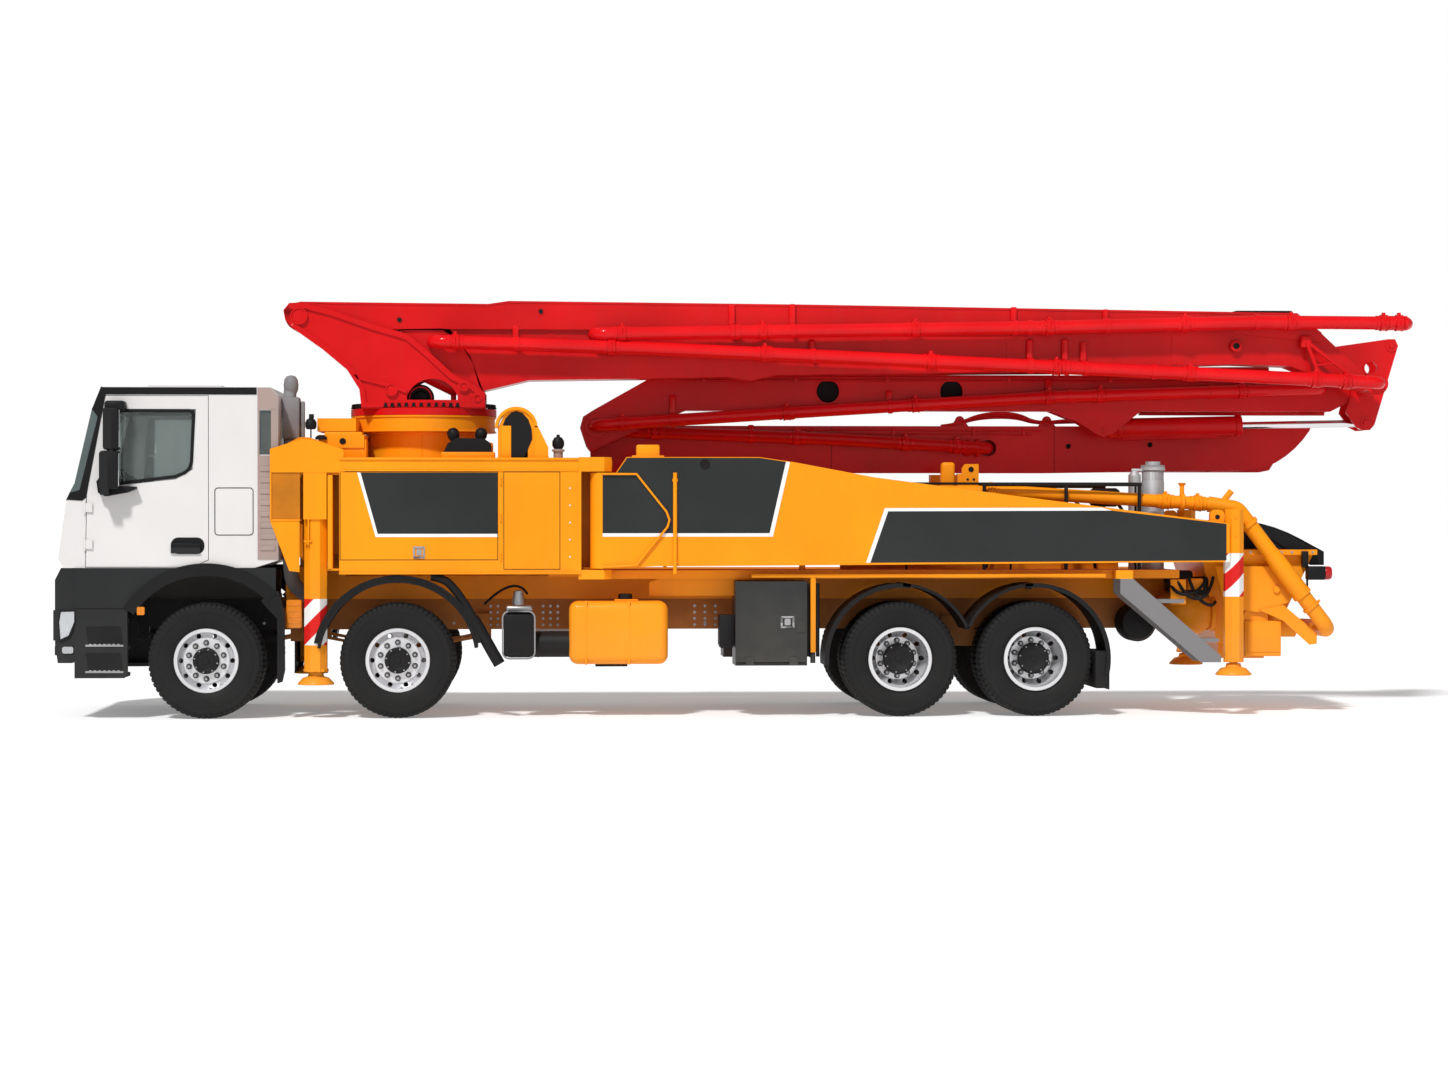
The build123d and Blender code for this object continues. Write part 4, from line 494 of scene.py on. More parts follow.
def place_mesh(name, mesh, material, body, crease=35):
    """Turn a mesh into a piece with one finish that rides on a body."""
    mesh.materials.clear()
    mesh.materials.append(material)
    mesh.polygons.foreach_set("use_smooth", [True] * len(mesh.polygons))
    mesh.set_sharp_from_angle(angle=radians(crease))
    piece = bpy.data.objects.new(name, mesh)
    bpy.context.scene.collection.objects.link(piece)
    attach(piece, body)
    return piece


def evaluated_mesh(holder):
    """Plain mesh of what an object shows; the object goes."""
    bpy.context.scene.collection.objects.link(holder)
    bpy.context.view_layer.update()
    mesh = bpy.data.meshes.new_from_object(holder.evaluated_get(bpy.context.evaluated_depsgraph_get()))
    holder.modifiers.clear()
    bpy.data.objects.remove(holder)
    return mesh


def add(name, material, body, *shapes, mirror=RIGHT, crease=35):
    """Piece made of shapes, in metres at last, closed, and with its faces pointing outwards."""
    bm = build(shapes)
    bmesh.ops.scale(bm, vec=(MM, MM * mirror, MM), verts=bm.verts)
    bmesh.ops.remove_doubles(bm, verts=bm.verts, dist=1e-6)
    bmesh.ops.recalc_face_normals(bm, faces=bm.faces)
    mesh = bpy.data.meshes.new(name)
    bm.to_mesh(mesh)
    bm.free()
    return place_mesh(name, mesh, material, body, crease)


def pair(name, material, body, *shapes):
    """Two pieces drawn for the right side; {} in the name of the body stands for the side."""
    for side_name, side in SIDES.items():
        add(f"{name}_{side_name}", material, body.format(side_name), *shapes, mirror=side)


def hose(name, points, radius, body, material, smooth=True, mirror=RIGHT):
    """Hose or bent rail through points, made as a curve and turned into a mesh."""
    data = bpy.data.curves.new(name, "CURVE")
    data.dimensions = "3D"
    data.bevel_depth = radius * MM
    data.bevel_resolution = 5
    data.use_fill_caps = True
    spline = data.splines.new("NURBS" if smooth else "POLY")
    spline.points.add(len(points) // 3 - 1)
    for k, point in enumerate(spline.points):
        x, y, z = points[3 * k:3 * k + 3]
        point.co = (x * MM, y * MM * mirror, z * MM, 1)
    if smooth:
        spline.order_u = 3
        spline.use_endpoint_u = True
        spline.resolution_u = 6
    mesh = evaluated_mesh(bpy.data.objects.new(name + "_curve", data))
    bpy.data.curves.remove(data)
    return place_mesh(name, mesh, material, body)


# %% [markdown]
# Bolts repeat hundreds of times, so one Geometry Nodes tree makes them all. It takes a cloud of
# points, puts a hexagon head with a washer on each, turns the heads to face out, and ends as plain
# mesh. The same tree serves wheel nuts, flange bolts and rivets, because its sizes are inputs.

# %% Bolt tree
bolt_tree = bpy.data.node_groups.new("bolt_heads", "GeometryNodeTree")
for way in ("INPUT", "OUTPUT"):
    bolt_tree.interface.new_socket("Geometry", in_out=way, socket_type="NodeSocketGeometry")
SOCKETS = {}
for socket_name, kind, value in (("Head radius", "NodeSocketFloat", 0.012), ("Head height", "NodeSocketFloat", 0.010),
                                 ("Head turn", "NodeSocketRotation", (0.0, 0.0, 0.0)),
                                 ("Finish", "NodeSocketMaterial", None)):
    SOCKETS[socket_name] = bolt_tree.interface.new_socket(socket_name, in_out="INPUT", socket_type=kind)
    if value is not None:
        SOCKETS[socket_name].default_value = value


def wire_bolt_tree(tree):
    """Points in, hexagon heads on washers out."""
    come = tree.nodes.new("NodeGroupInput").outputs
    radius, height = come["Head radius"], come["Head height"]
    head = wire(tree, "GeometryNodeMeshCone", "Mesh", {
        "Vertices": 6, "Radius Bottom": radius, "Radius Top": calc(tree, "MULTIPLY", radius, 0.88), "Depth": height})
    washer = wire(tree, "GeometryNodeMeshCylinder", "Mesh", {
        "Vertices": 12, "Radius": calc(tree, "MULTIPLY", radius, 1.35), "Depth": calc(tree, "MULTIPLY", height, 0.35)})
    both = tree.nodes.new("GeometryNodeJoinGeometry")
    for half in (head, washer):
        tree.links.new(half, both.inputs["Geometry"])
    spread = wire(tree, "GeometryNodeInstanceOnPoints", "Instances", {
        "Points": come["Geometry"], "Instance": both.outputs["Geometry"], "Rotation": come["Head turn"]})
    plain = wire(tree, "GeometryNodeRealizeInstances", "Geometry", {"Geometry": spread})
    painted = wire(tree, "GeometryNodeSetMaterial", "Geometry", {"Geometry": plain, "Material": come["Finish"]})
    feed(tree, tree.nodes.new("NodeGroupOutput"), {"Geometry": painted})


wire_bolt_tree(bolt_tree)
FACING = {"x": (0.0, pi / 2, 0.0), "y": (-pi / 2, 0.0, 0.0), "-y": (pi / 2, 0.0, 0.0), "z": (0.0, 0.0, 0.0)}
OUTWARDS = {LEFT: "-y", RIGHT: "y"}


def bolts(name, spots, facing, body, radius, height, material=bare_steel):
    """Bolt heads on a list of points, all facing one way."""
    cloud = bpy.data.meshes.new(name + "_spots")
    cloud.from_pydata([[n * MM for n in spot] for spot in spots], [], [])
    holder = bpy.data.objects.new(name + "_holder", cloud)
    modifier = holder.modifiers.new("heads", "NODES")
    modifier.node_group = bolt_tree
    for socket_name, value in (("Head radius", radius * MM), ("Head height", height * MM),
                               ("Head turn", FACING[facing]), ("Finish", material)):
        modifier[SOCKETS[socket_name].identifier] = value
    return place_mesh(name, evaluated_mesh(holder), material, body, crease=20)


def circle_spots(x, y, z, axis, radius, count, start=0.0):
    """Points evenly spaced round a circle."""
    angles = [start + 2 * pi * k / count for k in range(count)]
    return [Vector((x, y, z)) + turn_to(axis) @ Vector((radius * cos(a), radius * sin(a), 0)) for a in angles]


# %% [markdown]
# A truck tyre is a carcass with fine rings moulded in its side walls and a tread of shoulder
# blocks with grooves between. The carcass is turned on the lathe, and the blocks are cut into it as
# alternating radii, which costs few faces and keeps the tyre as round and as large as the CAD one.

# %% Tyres
AXLE_X = (-5067, -3299, 1393, 2670)
AXLE_Z = TYRE_R = 538
RIM_R = 286
HALF_W = 1250
FRONT_TYRE_W, REAR_TYRE_W, TWIN_GAP = 385, 315, 30
TREAD_BLOCKS = 64
GROOVE = 13
WALL = ((1, 45), (14, 30), (30, 22), (34, 18), (60, 10), (110, 1), (150, 1), (153, 4), (160, 2))
SHOULDER = ((48, 10), (44, 14), (14, 30), (0, 55))


def tyre_profile(width):
    """Half section as (radius, place along the axle, whether a tread block stands there)."""
    side = [(RIM_R + up, inset - width / 2, False) for up, inset in WALL]
    side += [(TYRE_R - down, inset - width / 2, down < 48) for down, inset in SHOULDER]
    ribs = []
    for middle in (-0.17 * (width - 130), 0.17 * (width - 130)):
        ribs += [(TYRE_R, middle - 9, True), (TYRE_R - GROOVE, middle - 5, False),
                 (TYRE_R - GROOVE, middle + 5, False), (TYRE_R, middle + 9, True)]
    return side + ribs + [(radius, -place, block) for radius, place, block in reversed(side)]


def tyre(bm, x, middle_y, width):
    """One tyre about an axle, with blocks round its tread."""
    rings = []
    for step in range(TREAD_BLOCKS * 4):
        angle = 2 * pi * step / (TREAD_BLOCKS * 4)
        ring_verts = []
        for radius, place, block in tyre_profile(width):
            r = radius - (GROOVE if step % 4 == 0 and block and abs(place) > width * 0.30 else 0)
            ring_verts.append(bm.verts.new((x + r * cos(angle), middle_y + place, AXLE_Z + r * sin(angle))))
        rings.append(ring_verts)
    join_rings(bm, rings)


for number, x in enumerate(AXLE_X, start=1):
    width = FRONT_TYRE_W if number < 3 else REAR_TYRE_W
    middles = [HALF_W - width / 2] if number < 3 else [HALF_W - width / 2, HALF_W - width * 1.5 - TWIN_GAP]
    for side_name, side in SIDES.items():
        node = f"tyre_{number}_{side_name}"
        piece = add(f"tread_{number}_{side_name}", tyre_rubber, f"wheel_{number}_{side_name}",
                    *[(tyre, x, side * middle, width) for middle in middles], crease=28)
        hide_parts(node)
print("tyres:", TREAD_BLOCKS, "blocks round each")

# %% [markdown]
# Each wheel is held by ten nuts on a circle about a black hub cap. Nuts are points on a circle fed
# to the bolt tree, and the cap is turned on the lathe with a shallow dish in its face.

# %% Hubs and nuts
NUT_CIRCLE = 167.5
for number, x in enumerate(AXLE_X, start=1):
    face, cap_face, lip, cap_r = (-55, 8, -34, 122) if number < 3 else (-312, -136, -20, 148)
    for side_name, side in SIDES.items():
        end, facing = f"{number}_{side_name}", OUTWARDS[side]
        body = f"wheel_{end}"
        spots = circle_spots(x, side * (HALF_W + face + 10), AXLE_Z, ACROSS, NUT_CIRCLE, 10, 0.31)
        bolts(f"wheel_nuts_{end}", spots, facing, body, 15, 30)
        # Dark rings round the nuts: painted shade in the rim's nut holes.
        bolts(f"nut_seats_{end}", spots, facing, body, 20, 19, hole_shade)
        cap_y = HALF_W + cap_face
        add(f"hub_cap_{end}", black_plastic, body,
            (lathe, x, side * cap_y, AXLE_Z, (0, side, 0),
             (0.5, -4, 30, -4, 34, -10, cap_r * 0.62, -10, cap_r * 0.72, 0, cap_r - 14, 0, cap_r, -12, cap_r, -50,
              0.5, -50), 40))
        bolts(f"cap_screws_{end}", circle_spots(x, side * (cap_y - 2), AXLE_Z, ACROSS, cap_r * 0.86, 8, 0.2),
              facing, body, 7, 6)
        add(f"rim_lip_{end}", rim_silver, body,
            (ring, x, side * (HALF_W + lip), AXLE_Z, ACROSS, RIM_R + 14, RIM_R - 20, 22, 64))

# %% [markdown]
# The cab. A black band runs over the roof edge and down the screen pillars, the door window sits in
# a rubber frame, and behind the door a hatch and a ribbed strip close the side. The front leans
# back, so its skins follow the line that the solid wall has there.

# %% Cab skins
SHELL_Y, SKIN_Y = 1215.2, 1220.2
DOOR = "cab_door_{}"
PILLAR = (-6338, 2030, -6322, 2095, -6228, 2120, -6060, 2800, -6112, 2870, -6026, 3072, -4600, 3072, -4600, 3006,
          -5985, 3006, -5996, 2960, -6168, 2050, -6205, 2022)
SCREEN_SIDE = (-6320, 2096, -6277, 2165, -6111, 2868, -6062, 2800, -6230, 2121)
DOOR_GLASS = (-5900, 2871, -5225, 2871, -5185, 2860, -5165, 2820, -5185, 2380, -5205, 2315, -5255, 2268, -5345, 2232,
              -5880, 2165, -5935, 2200)
FLAP_SIDE = (-4560, 1095, -4470, 1180, -4380, 1130, -4345, 980, -4340, 450, -4365, 340, -4408, 335, -4412, 930,
             -4500, 1020)
pair("pillar", black_plastic, "chassis", (plate, PILLAR, SHELL_Y, SKIN_Y))
pair("screen_side", tinted_glass, "chassis", (plate, SCREEN_SIDE, SHELL_Y, SKIN_Y))
pair("step_dark", black_plastic, "chassis", *[
    (plate, (-6150, low, -6172, high, -5850, high, -5828, low), 1230.2, 1231.2)
    for low, high in ((455, 615), (700, 860))])
pair("step_treads", bare_steel, "chassis", *[
    (box, -6140 + rib * 43, 1230.2, low + 4, -6118 + rib * 43, 1236, low + 14, 2)
    for low in (440, 684) for rib in range(7)],
    *[(box, -6175, 1230.2, low - 12, -5825, 1237, low + 6, 3) for low in (440, 684)])
pair("flap_side", black_plastic, "chassis", (plate, FLAP_SIDE, 1190, 1242))
# Dark line along the lower edge of the wing: painted shade.
pair("wing_line", hole_shade, "chassis", (plate, (-6272, 1030, -5800, 1030, -5792, 1018, -6272, 1018), 1230.2, 1231.2))
pair("hatch_seam", grey_paint, "chassis", (frame_plate, rounded(-4990, 1700, -4630, 2145, 35), 8, SHELL_Y, 1217.2))
pair("arch_flare", black_plastic, "chassis", (plate, arc_band(AXLE_X[0], AXLE_Z, 790, 905, 44, 147), 1226, 1247))
pair("arch_marker", amber_lens, "chassis", (plate, rounded(-5700, 965, -5630, 1040, 12), 1230.5, 1248))
pair("window_rubber", black_plastic, DOOR, (frame_plate, DOOR_GLASS, 30, SHELL_Y, 1221.2))
pair("window_pane", window_glass, DOOR, (plate, DOOR_GLASS, 1188, 1194))
pair("handle_dish", black_plastic, DOOR, (plate, rounded(-5392, 1528, -5082, 1682, 70), SHELL_Y, 1217.5))
pair("door_pull", black_plastic, DOOR, (box, -5365, 1218, 1590, -5110, 1242, 1630, 9))
add("screen_surround", black_plastic, "chassis",
    (twins, (plate, (-6279, 2160, -6111, 2880, -6103, 2880, -6271, 2160), 1036, 1219)),
    (plate, (-6114, 2868, -6029, 3080, -6018, 3076, -6103, 2868), -1219, 1219),
    (plate, (-6353, 2027, -6278, 2176, -6268, 2176, -6343, 2027), -1219, 1219))
print("cab skins done")

# %% [markdown]
# The strip behind the cab is a ribbed moulding with the small window in it. The grille in front is a
# stack of slats: one slat is drawn, and the others follow at an even pitch.

# %% Ribs, grille and wipers
SLATS = 7


def slat(z):
    """One slat of the grille, which leans back with the front of the cab."""
    x = -6419 + (z - 1480) * 0.140
    return plate, (x - 16, z, x - 4, z + 42, x + 30, z + 34, x + 18, z - 8), -860, 860


pair("rear_strip", strip_grey, "chassis", (box, -4592, 1215.5, 1476, -4407, 1221.5, 2442),
     (plate, (-4592, 2868, -4407, 2868, -4407, 3000, -4478, 3070, -4592, 3070), 1215.5, 1221.5),
     (box, -4592, 1215.5, 2440, -4576, 1221.5, 2870), (box, -4468, 1215.5, 2440, -4407, 1221.5, 2870),
     *[(box, -4570, 1220.5, z, -4425, 1230.5, z + 45, 4) for z in range(1560, 2400, 105)])
add("grille_slats", grey_paint, "chassis", *[slat(1520 + number * 68) for number in range(SLATS)])
add("wipers", black_plastic, "chassis", *[shape for y in (-550, 250) for shape in (
    (bar, -6352, y, 2060, -6262, y + 360, 2310, 8, 10), (box, -6372, y - 30, 2035, -6330, y + 30, 2085, 10),
    (bar, -6276, y + 60, 2210, -6212, y + 620, 2480, 6, 8))])

# %% [markdown]
# The mirrors stand well clear of the doors. The solid model has them as plain blocks, so each gets a
# rounded shell, a foot that grows out of the door and a pane of real mirror on its rear face.

# %% Mirrors
pair("mirror_shell", black_plastic, DOOR, (box, -5987, 1278, 2488, -5838, 1449, 2882, 28),
     (box, -6022, 1278, 2128, -5845, 1449, 2482, 28), (box, -5975, 1214, 2853, -5790, 1425, 2942, 26),
     (plate, (-6060, 2200, -6045, 2095, -5980, 2062, -5780, 2098, -5700, 2130, -5700, 2152, -5920, 2160, -6030, 2240),
      1215.5, 1320))
pair("mirror_pane", mirror_glass, DOOR, (box, -5839, 1296, 2512, -5834, 1432, 2858, 2),
     (box, -5846, 1296, 2152, -5841, 1432, 2458, 2))

# %% [markdown]
# Lamps: a clear corner lens over each headlamp with a reflector bowl behind it, fog lamps, amber
# boxes, and the tail lamps on their brackets beside the hopper.

# %% Lamps
HEAD_LENS = (-6425, 898, -6408, 1006, -6264, 1010, -6264, 898, -6319, 768, -6412, 722)
pair("head_reflector", bare_steel, "chassis", (plate, HEAD_LENS, 1223.5, 1225.5))
pair("head_lens", clear_lens, "chassis", (plate, HEAD_LENS, 1226.2, 1234.2))
pair("head_rim", black_plastic, "chassis", (frame_plate, HEAD_LENS, 12, 1224, 1236.2))
pair("fog_lens", clear_lens, "chassis", (plate, rounded(-6388, 610, -6286, 672, 18), 1215, 1227))
pair("front_lens", clear_lens, "chassis", (box, -6469.5, 850, 745, -6456, 1195, 998, 4),
     (box, -6469, 905, 600, -6456, 1150, 672, 4))
pair("tail_housing", black_plastic, "chassis", (box, 5330, 815, 1272, 5500, 955, 1402, 14),
     (plate, (5328, 1400, 5342, 1400, 5342, 1120, 5300, 1080, 5290, 1086, 5328, 1128), 870, 900),
     (box, 5290, 820, 1545, 5345, 900, 1390, 5))
pair("tail_lens", red_lens, "chassis", (lathe, 5500, 885, 1337, ALONG, (0.5, 0, 64, 0, 64, 45, 56, 64, 0.5, 70), 32))
add("amber_box_lamp", amber_lens, "chassis", (box, -4335, -1160, 836, -4192, -1020, 1102, 16),
    *[(box, -4320, -1166, z, -4207, -1158, z + 18, 3) for z in (880, 935, 990, 1045)])
add("blank_plates", stripe_white, "chassis", (box, -6466, -260, 610, -6455.5, 260, 722, 3),
    (box, 5446, 180, 1300, 5456, 700, 1412, 3))
add("plate_bracket", black_plastic, "chassis", (box, 5436, 200, 1400, 5447, 680, 1500, 2))
print("lamps done")

# %% [markdown]
# Behind the cab rises the air intake: a squared duct with a swelling head, turned on the lathe.
# Beside it stand the housing's details: gusset, cheek plate, lifting boss and a horn.

# %% Intake, front housing and horn
add("air_intake", intake_grey, "chassis", (box, -4396, -850, 2600, -4232, -670, 3000, 22),
    (box, -4228, -800, 2560, -4190, -720, 2960, 10),
    (lathe, -4318, -760, 2995, UP, (0.5, 0, 50, 0, 50, 35, 66, 70, 70, 125, 62, 172, 40, 202, 0.5, 212), 36))
hose("intake_duct", (-4330, -760, 1700, -4330, -760, 1420, -4310, -740, 1250, -4180, -700, 1120, -4020, -660, 1060),
     70, "chassis", intake_grey)
add("housing_plates", orange_paint, "chassis",
    (plate, (-4388, 2262, -4388, 1843, -4205, 1500, -4182, 1500, -4182, 1800, -4335, 1880, -4335, 2262), -1155, -1140),
    (box, -4388, -1190, 1835, -4190, -1100, 1850, 3), (box, -4388, -1196, 2240, -4190, -1100, 2262, 3),
    (twins, (box, -3946, 1020, 1376, -3900, 1238, 2262, 5), (box, -3948, 1010, 1374, -3840, 1238, 1392, 4),
     (plate, arc_band(-4169, 2300, 236, 250, 62, 118, 8), 1195, 1206),
     (plate, (-4477, 2285, -4477, 2503, -4200, 2590, -4090, 2590, -3800, 2500, -3787, 2285), 1240.5, 1246.5),
     (box, -4477, 1232.5, 1842, -4462, 1246.5, 2290, 2), (box, -4477, 1232.5, 1835, -4200, 1246.5, 1850, 2),
     (plate, (-4477, 1836, -4205, 1836, -4205, 1360, -4300, 1372), 1232.5, 1238.5)))
# Sheets of darker orange in gaps and recesses of the housings, beside the legs and under the deck: painted shade.
add("housing_shade_skins", shaded_recess_orange, "chassis",
    (twins, (box, -4462, 1232.5, 1850, -4200, 1234.5, 2286), (box, -1640, 930, 1395, -1300, 950, 2405, 4),
     (box, -1330, 930, 1395, -1300, 1000, 2405, 4), (box, -3955, 900, 1340, -3800, 920, 1520, 4)),
    (box, 900, -425, 1372, 3600, -405, 1500, 4))
add("pedestal_box", orange_paint, "chassis", (box, -4050, -985, 2425, -3600, -700, 2600, 10),
    (box, -3990, -990, 2520, -3640, -720, 2668, 8))
add("housing_bosses", stripe_white, "chassis",
    (twins, (lathe, -4169, 1200, 2543, ACROSS, (0.5, 0, 32, 0, 32, 8, 26, 16, 0.5, 18), 24)))
add("horn", black_plastic, "chassis", (bar, -4112, -1050, 2600, -4112, -1050, 2720, 7, 10),
    (lathe, -4112, -1050, 2690, UP, (0.5, 0, 40, 0, 52, 20, 54, 60, 40, 90, 18, 104, 0.5, 106), 24),
    (box, -4130, -1068, 2790, -4084, -1032, 2832, 6),
    (lathe, -4020, -1000, 2596, UP, (0.5, 0, 55, 0, 55, 22, 30, 40, 0.5, 42), 24))

# %% [markdown]
# Each leg carries its own small things, so they ride with it when it moves: the locking rod with
# its two eyes, a shoulder under the stripes, grey panels with white borders, a grab rail and a dish
# under each foot.

# %% Details of the legs
REAR_JACK_X = 4572
LEG_FACE, LEG_SKIN = 1240.2, 1242.2
DISH = (0.5, 1, 166, 1, 170, 6, 168, 16, 120, 66, 76, 78, 66, 112, 0.5, 112)
for (side_name, side), x in zip(SIDES.items(), (-4062, -4268)):
    add(f"leg_lock_{side_name}", orange_paint, f"front_leg_{side_name}",
        (bar, x - 60, 1236, 1610, x - 60, 1236, 1955, 9, 12),
        *[(box, x - 105, 1216, z, x - 30, 1244, z + 14, 3) for z in (1640, 1905, 1935)],
        (ring, x, 1120, 445, UP, 118, 60, 30, 8), mirror=side)
    for jack, jack_x, y, z in (("front_jack", x, 1120, 310), ("rear_jack", REAR_JACK_X, 1130, 376)):
        add(f"foot_dish_{jack}_{side_name}", orange_paint, f"{jack}_{side_name}",
            (lathe, jack_x, y, z, UP, DISH, 48), mirror=side)

REAR_LEG = "rear_leg_{}"
PANEL_1 = (-1395, 1720, -1395, 2270, -1268, 2275, -1166, 2424, 70, 2424, 318, 2388, 165, 1720)
STRIPE_1 = (-1395, 1688, -1395, 1720, 165, 1720, 318, 2388, 356, 2383, 196, 1688)
PANEL_2 = (1110, 1443, 1278, 1925, 3390, 1932, 4480, 1806, 4480, 1463)
STRIPE_2 = (1070, 1443, 1247, 1955, 3300, 1960, 3390, 1932, 1278, 1925, 1110, 1443)
RAIL = (-1395, 1258, 2272, -1080, 1262, 2272, -800, 1262, 1920, -772, 1262, 1845, -790, 1262, 1780, -1080, 1262, 1421,
        -1395, 1258, 1404)
pair("leg_panel_front", grey_paint, REAR_LEG, (plate, PANEL_1, LEG_FACE, LEG_SKIN))
pair("leg_panel_rear", grey_paint, REAR_LEG, (plate, PANEL_2, LEG_FACE, LEG_SKIN))
pair("leg_stripes", stripe_white, REAR_LEG,
     (plate, STRIPE_1, LEG_FACE, LEG_SKIN), (plate, STRIPE_2, LEG_FACE, LEG_SKIN))
# Dark disc for the hole in the leg: painted shade.
pair("leg_hole", hole_shade, REAR_LEG,
     (lathe, -440, LEG_SKIN, 2363, ACROSS, (0.5, 0, 48, 0, 48, 3.5, 42, 4, 38, 1.5, 0.5, 1.2), 40))
pair("leg_fittings", orange_paint, REAR_LEG, (bar, -720, 1262, 1340, -720, 1262, 2285, 19, 16),
     *[(box, -745, 1236, z, -695, 1266, z + 30, 4) for z in (1440, 2200)],
     (box, -1080, 1085, 2428, -860, 1200, 2548, 20), (box, -1120, 1070, 2428, -820, 1215, 2446, 4),
     (plate, rounded(4340, 1800, 4478, 1940, 50), 1105, 1170), (ring, REAR_JACK_X, 1130, 515, UP, 100, 50, 26, 8))
# Dark disc for the lug's hole: painted shade.
pair("lug_hole", hole_shade, REAR_LEG, (bar, 4409, 1171, 1872, 4409, 1174, 1872, 22))
for side_name, side in SIDES.items():
    leg = REAR_LEG.format(side_name)
    hose(f"leg_loop_{side_name}", RAIL, 11, leg, orange_paint, smooth=False, mirror=side)
    bolts(f"leg_caps_{side_name}", [(REAR_JACK_X, side * 1219, z) for z in (1870, 1700)], OUTWARDS[side], leg, 18, 6,
          orange_paint)
print("leg details done")

# %% [markdown]
# The cupboards are plain boxes in the solid model. Their doors show as fine gaps in painted shade, with
# hinges, a latch, a rolled edge above, and the grey field with its white border, which stays bare of letters.

# %% Cupboards
CUPBOARD_Y, FIELD_Y = 1245.2, 1247.2
DOOR_A = (-3832, 1470, -3832, 2294, -2368, 2294, -2368, 1470)
DOOR_B = (-2317, 1382, -2317, 2294, -1790, 2294, -1790, 1382)
FIELD = (-3641, 2284, -2374, 2284, -2374, 1715, -3482, 1715)
FIELD_EDGE = (-3672, 2284, -3641, 2284, -3482, 1715, -2374, 1715, -2374, 1685, -3502, 1685)
pair("field", grey_paint, "chassis", (plate, FIELD, CUPBOARD_Y, FIELD_Y))
pair("field_edge", stripe_white, "chassis", (plate, FIELD_EDGE, CUPBOARD_Y, FIELD_Y))
# Door gaps drawn dark: painted shade.
pair("door_gaps", hole_shade, "chassis", *[(frame_plate, door, 6, CUPBOARD_Y, 1246.4) for door in (DOOR_A, DOOR_B)])
pair("cupboard_edges", orange_paint, "chassis", (box, -3840, 1236, 2402, -1625, 1262, 2424, 6),
     (box, -3840, 1240, 2296, -1625, 1254, 2308, 3), (box, -3840, 1240, 1338, -1600, 1262, 1356, 5),
     (box, -1785, 1245.2, 1382, -1640, 1248.2, 2292),
     *[(bar, -2342, 1250, z - 35, -2342, 1250, z + 35, 9, 12) for z in (2200, 1860, 1500)])
pair("latch", bare_steel, "chassis",
     (frame_plate, rounded(-3156, 1486, -3046, 1598, 10, 3), 18, CUPBOARD_Y, 1253.5),
     (plate, rounded(-3124, 1512, -3076, 1574, 12, 3), CUPBOARD_Y, 1250.5))
for side_name, side in SIDES.items():
    bolts(f"hinge_bolts_{side_name}", [(-1700, side * 1246.5, z) for z in range(1500, 2200, 160)], OUTWARDS[side],
          "chassis", 9, 8, stripe_white)

# %% [markdown]
# On top stand the pedestal's neighbours: the hose reel in its arch, a rubber cover with two ears, a
# glass lantern and a box with a round port. The pedestal has a weld seam down its drum, and the
# slewing ring is held by dark bolts, left out where arm 3 passes when it opens.

# %% Around the pedestal
SLEW_X = -3100
ARM_3_LANE = 335
add("hose_reel", black_plastic, "chassis",
    (plate, (-2330, 2430, -2335, 2700, -2300, 2790, -2245, 2845, -2200, 2860, -2140, 2840, -2085, 2780, -2055, 2690,
             -2050, 2600, -2100, 2480, -2130, 2430), -1196, -960),
    *[(lathe, -2205, -975 - turn * 22, 2640, ACROSS, (90, -8, 101, -10, 106, 0, 101, 10, 90, 8), 28)
      for turn in range(7)])
add("reel_cover", orange_paint, "chassis", (box, -2338, -1212, 2424, -2246, -1198, 2722, 4),
    (plate, arc_band(-2198, 2700, 172, 200, 2, 178, 16), -1215, -890),
    (plate, (-2028, 2424, -2028, 2720, -1998, 2720, -1900, 2520, -1900, 2424), -1215, -890))
add("rubber_cover", black_plastic, "chassis",
    (plate, (-2880, 2478, -2430, 2478, -2436, 2560, -2500, 2606, -2760, 2612, -2840, 2560), -1060, -780),
    *[(lathe, x, -930, 2590, (lean, 0, 1), (0.5, 0, 40, 0, 58, 45, 56, 88, 30, 118, 0.5, 122), 24)
      for x, lean in ((-2775, -0.28), (-2545, 0.24))], crease=50)
add("cover_bed", orange_paint, "chassis", (box, -2900, -1080, 2420, -2400, -760, 2480, 10),
    (box, -2560, -1020, 2420, -2420, -700, 2570, 12))
add("lantern_base", strip_grey, "chassis",
    (lathe, -1808, -1100, 2420, UP, (0.5, 0, 44, 0, 44, 60, 60, 66, 60, 82, 30, 90, 0.5, 90), 24))
add("lantern", black_plastic, "chassis",
    (lathe, -1808, -1100, 2510, UP, (0.5, 0, 40, 0, 56, 30, 56, 70, 36, 104, 16, 112, 16, 130, 0.5, 134), 28))
# Dark disc for the inside of the round port: painted shade.
add("box_port", hole_shade, "chassis", (bar, -3820, -1001, 2580, -3820, -1006, 2580, 30))
ring_spots = [spot for spot in circle_spots(SLEW_X, 0, 2921, UP, 680, 60) if spot.y < ARM_3_LANE]
bolts("ring_bolts", ring_spots, "z", "turret", 16, 34, black_plastic)
add("ring_edge", red_paint, "turret", (ring, SLEW_X, 0, 2890, UP, 700, 690, 26, 72),
    (ring, SLEW_X, 0, 2855, UP, 700, 699, 8, 72))
add("pedestal_welds", orange_paint, "chassis",
    *[(bar, spot.x, spot.y, 2430, spot.x, spot.y, 2678, 5, 8)
      for spot in circle_spots(SLEW_X, 0, 0, UP, 560, 6, pi / 6)],
    *[(ring, SLEW_X, 0, z, UP, outer, inner, width, 72)
      for z, outer, inner, width in ((2672, 600, 558, 14), (2828, 699, 684, 18), (2690, 699, 684, 14))])

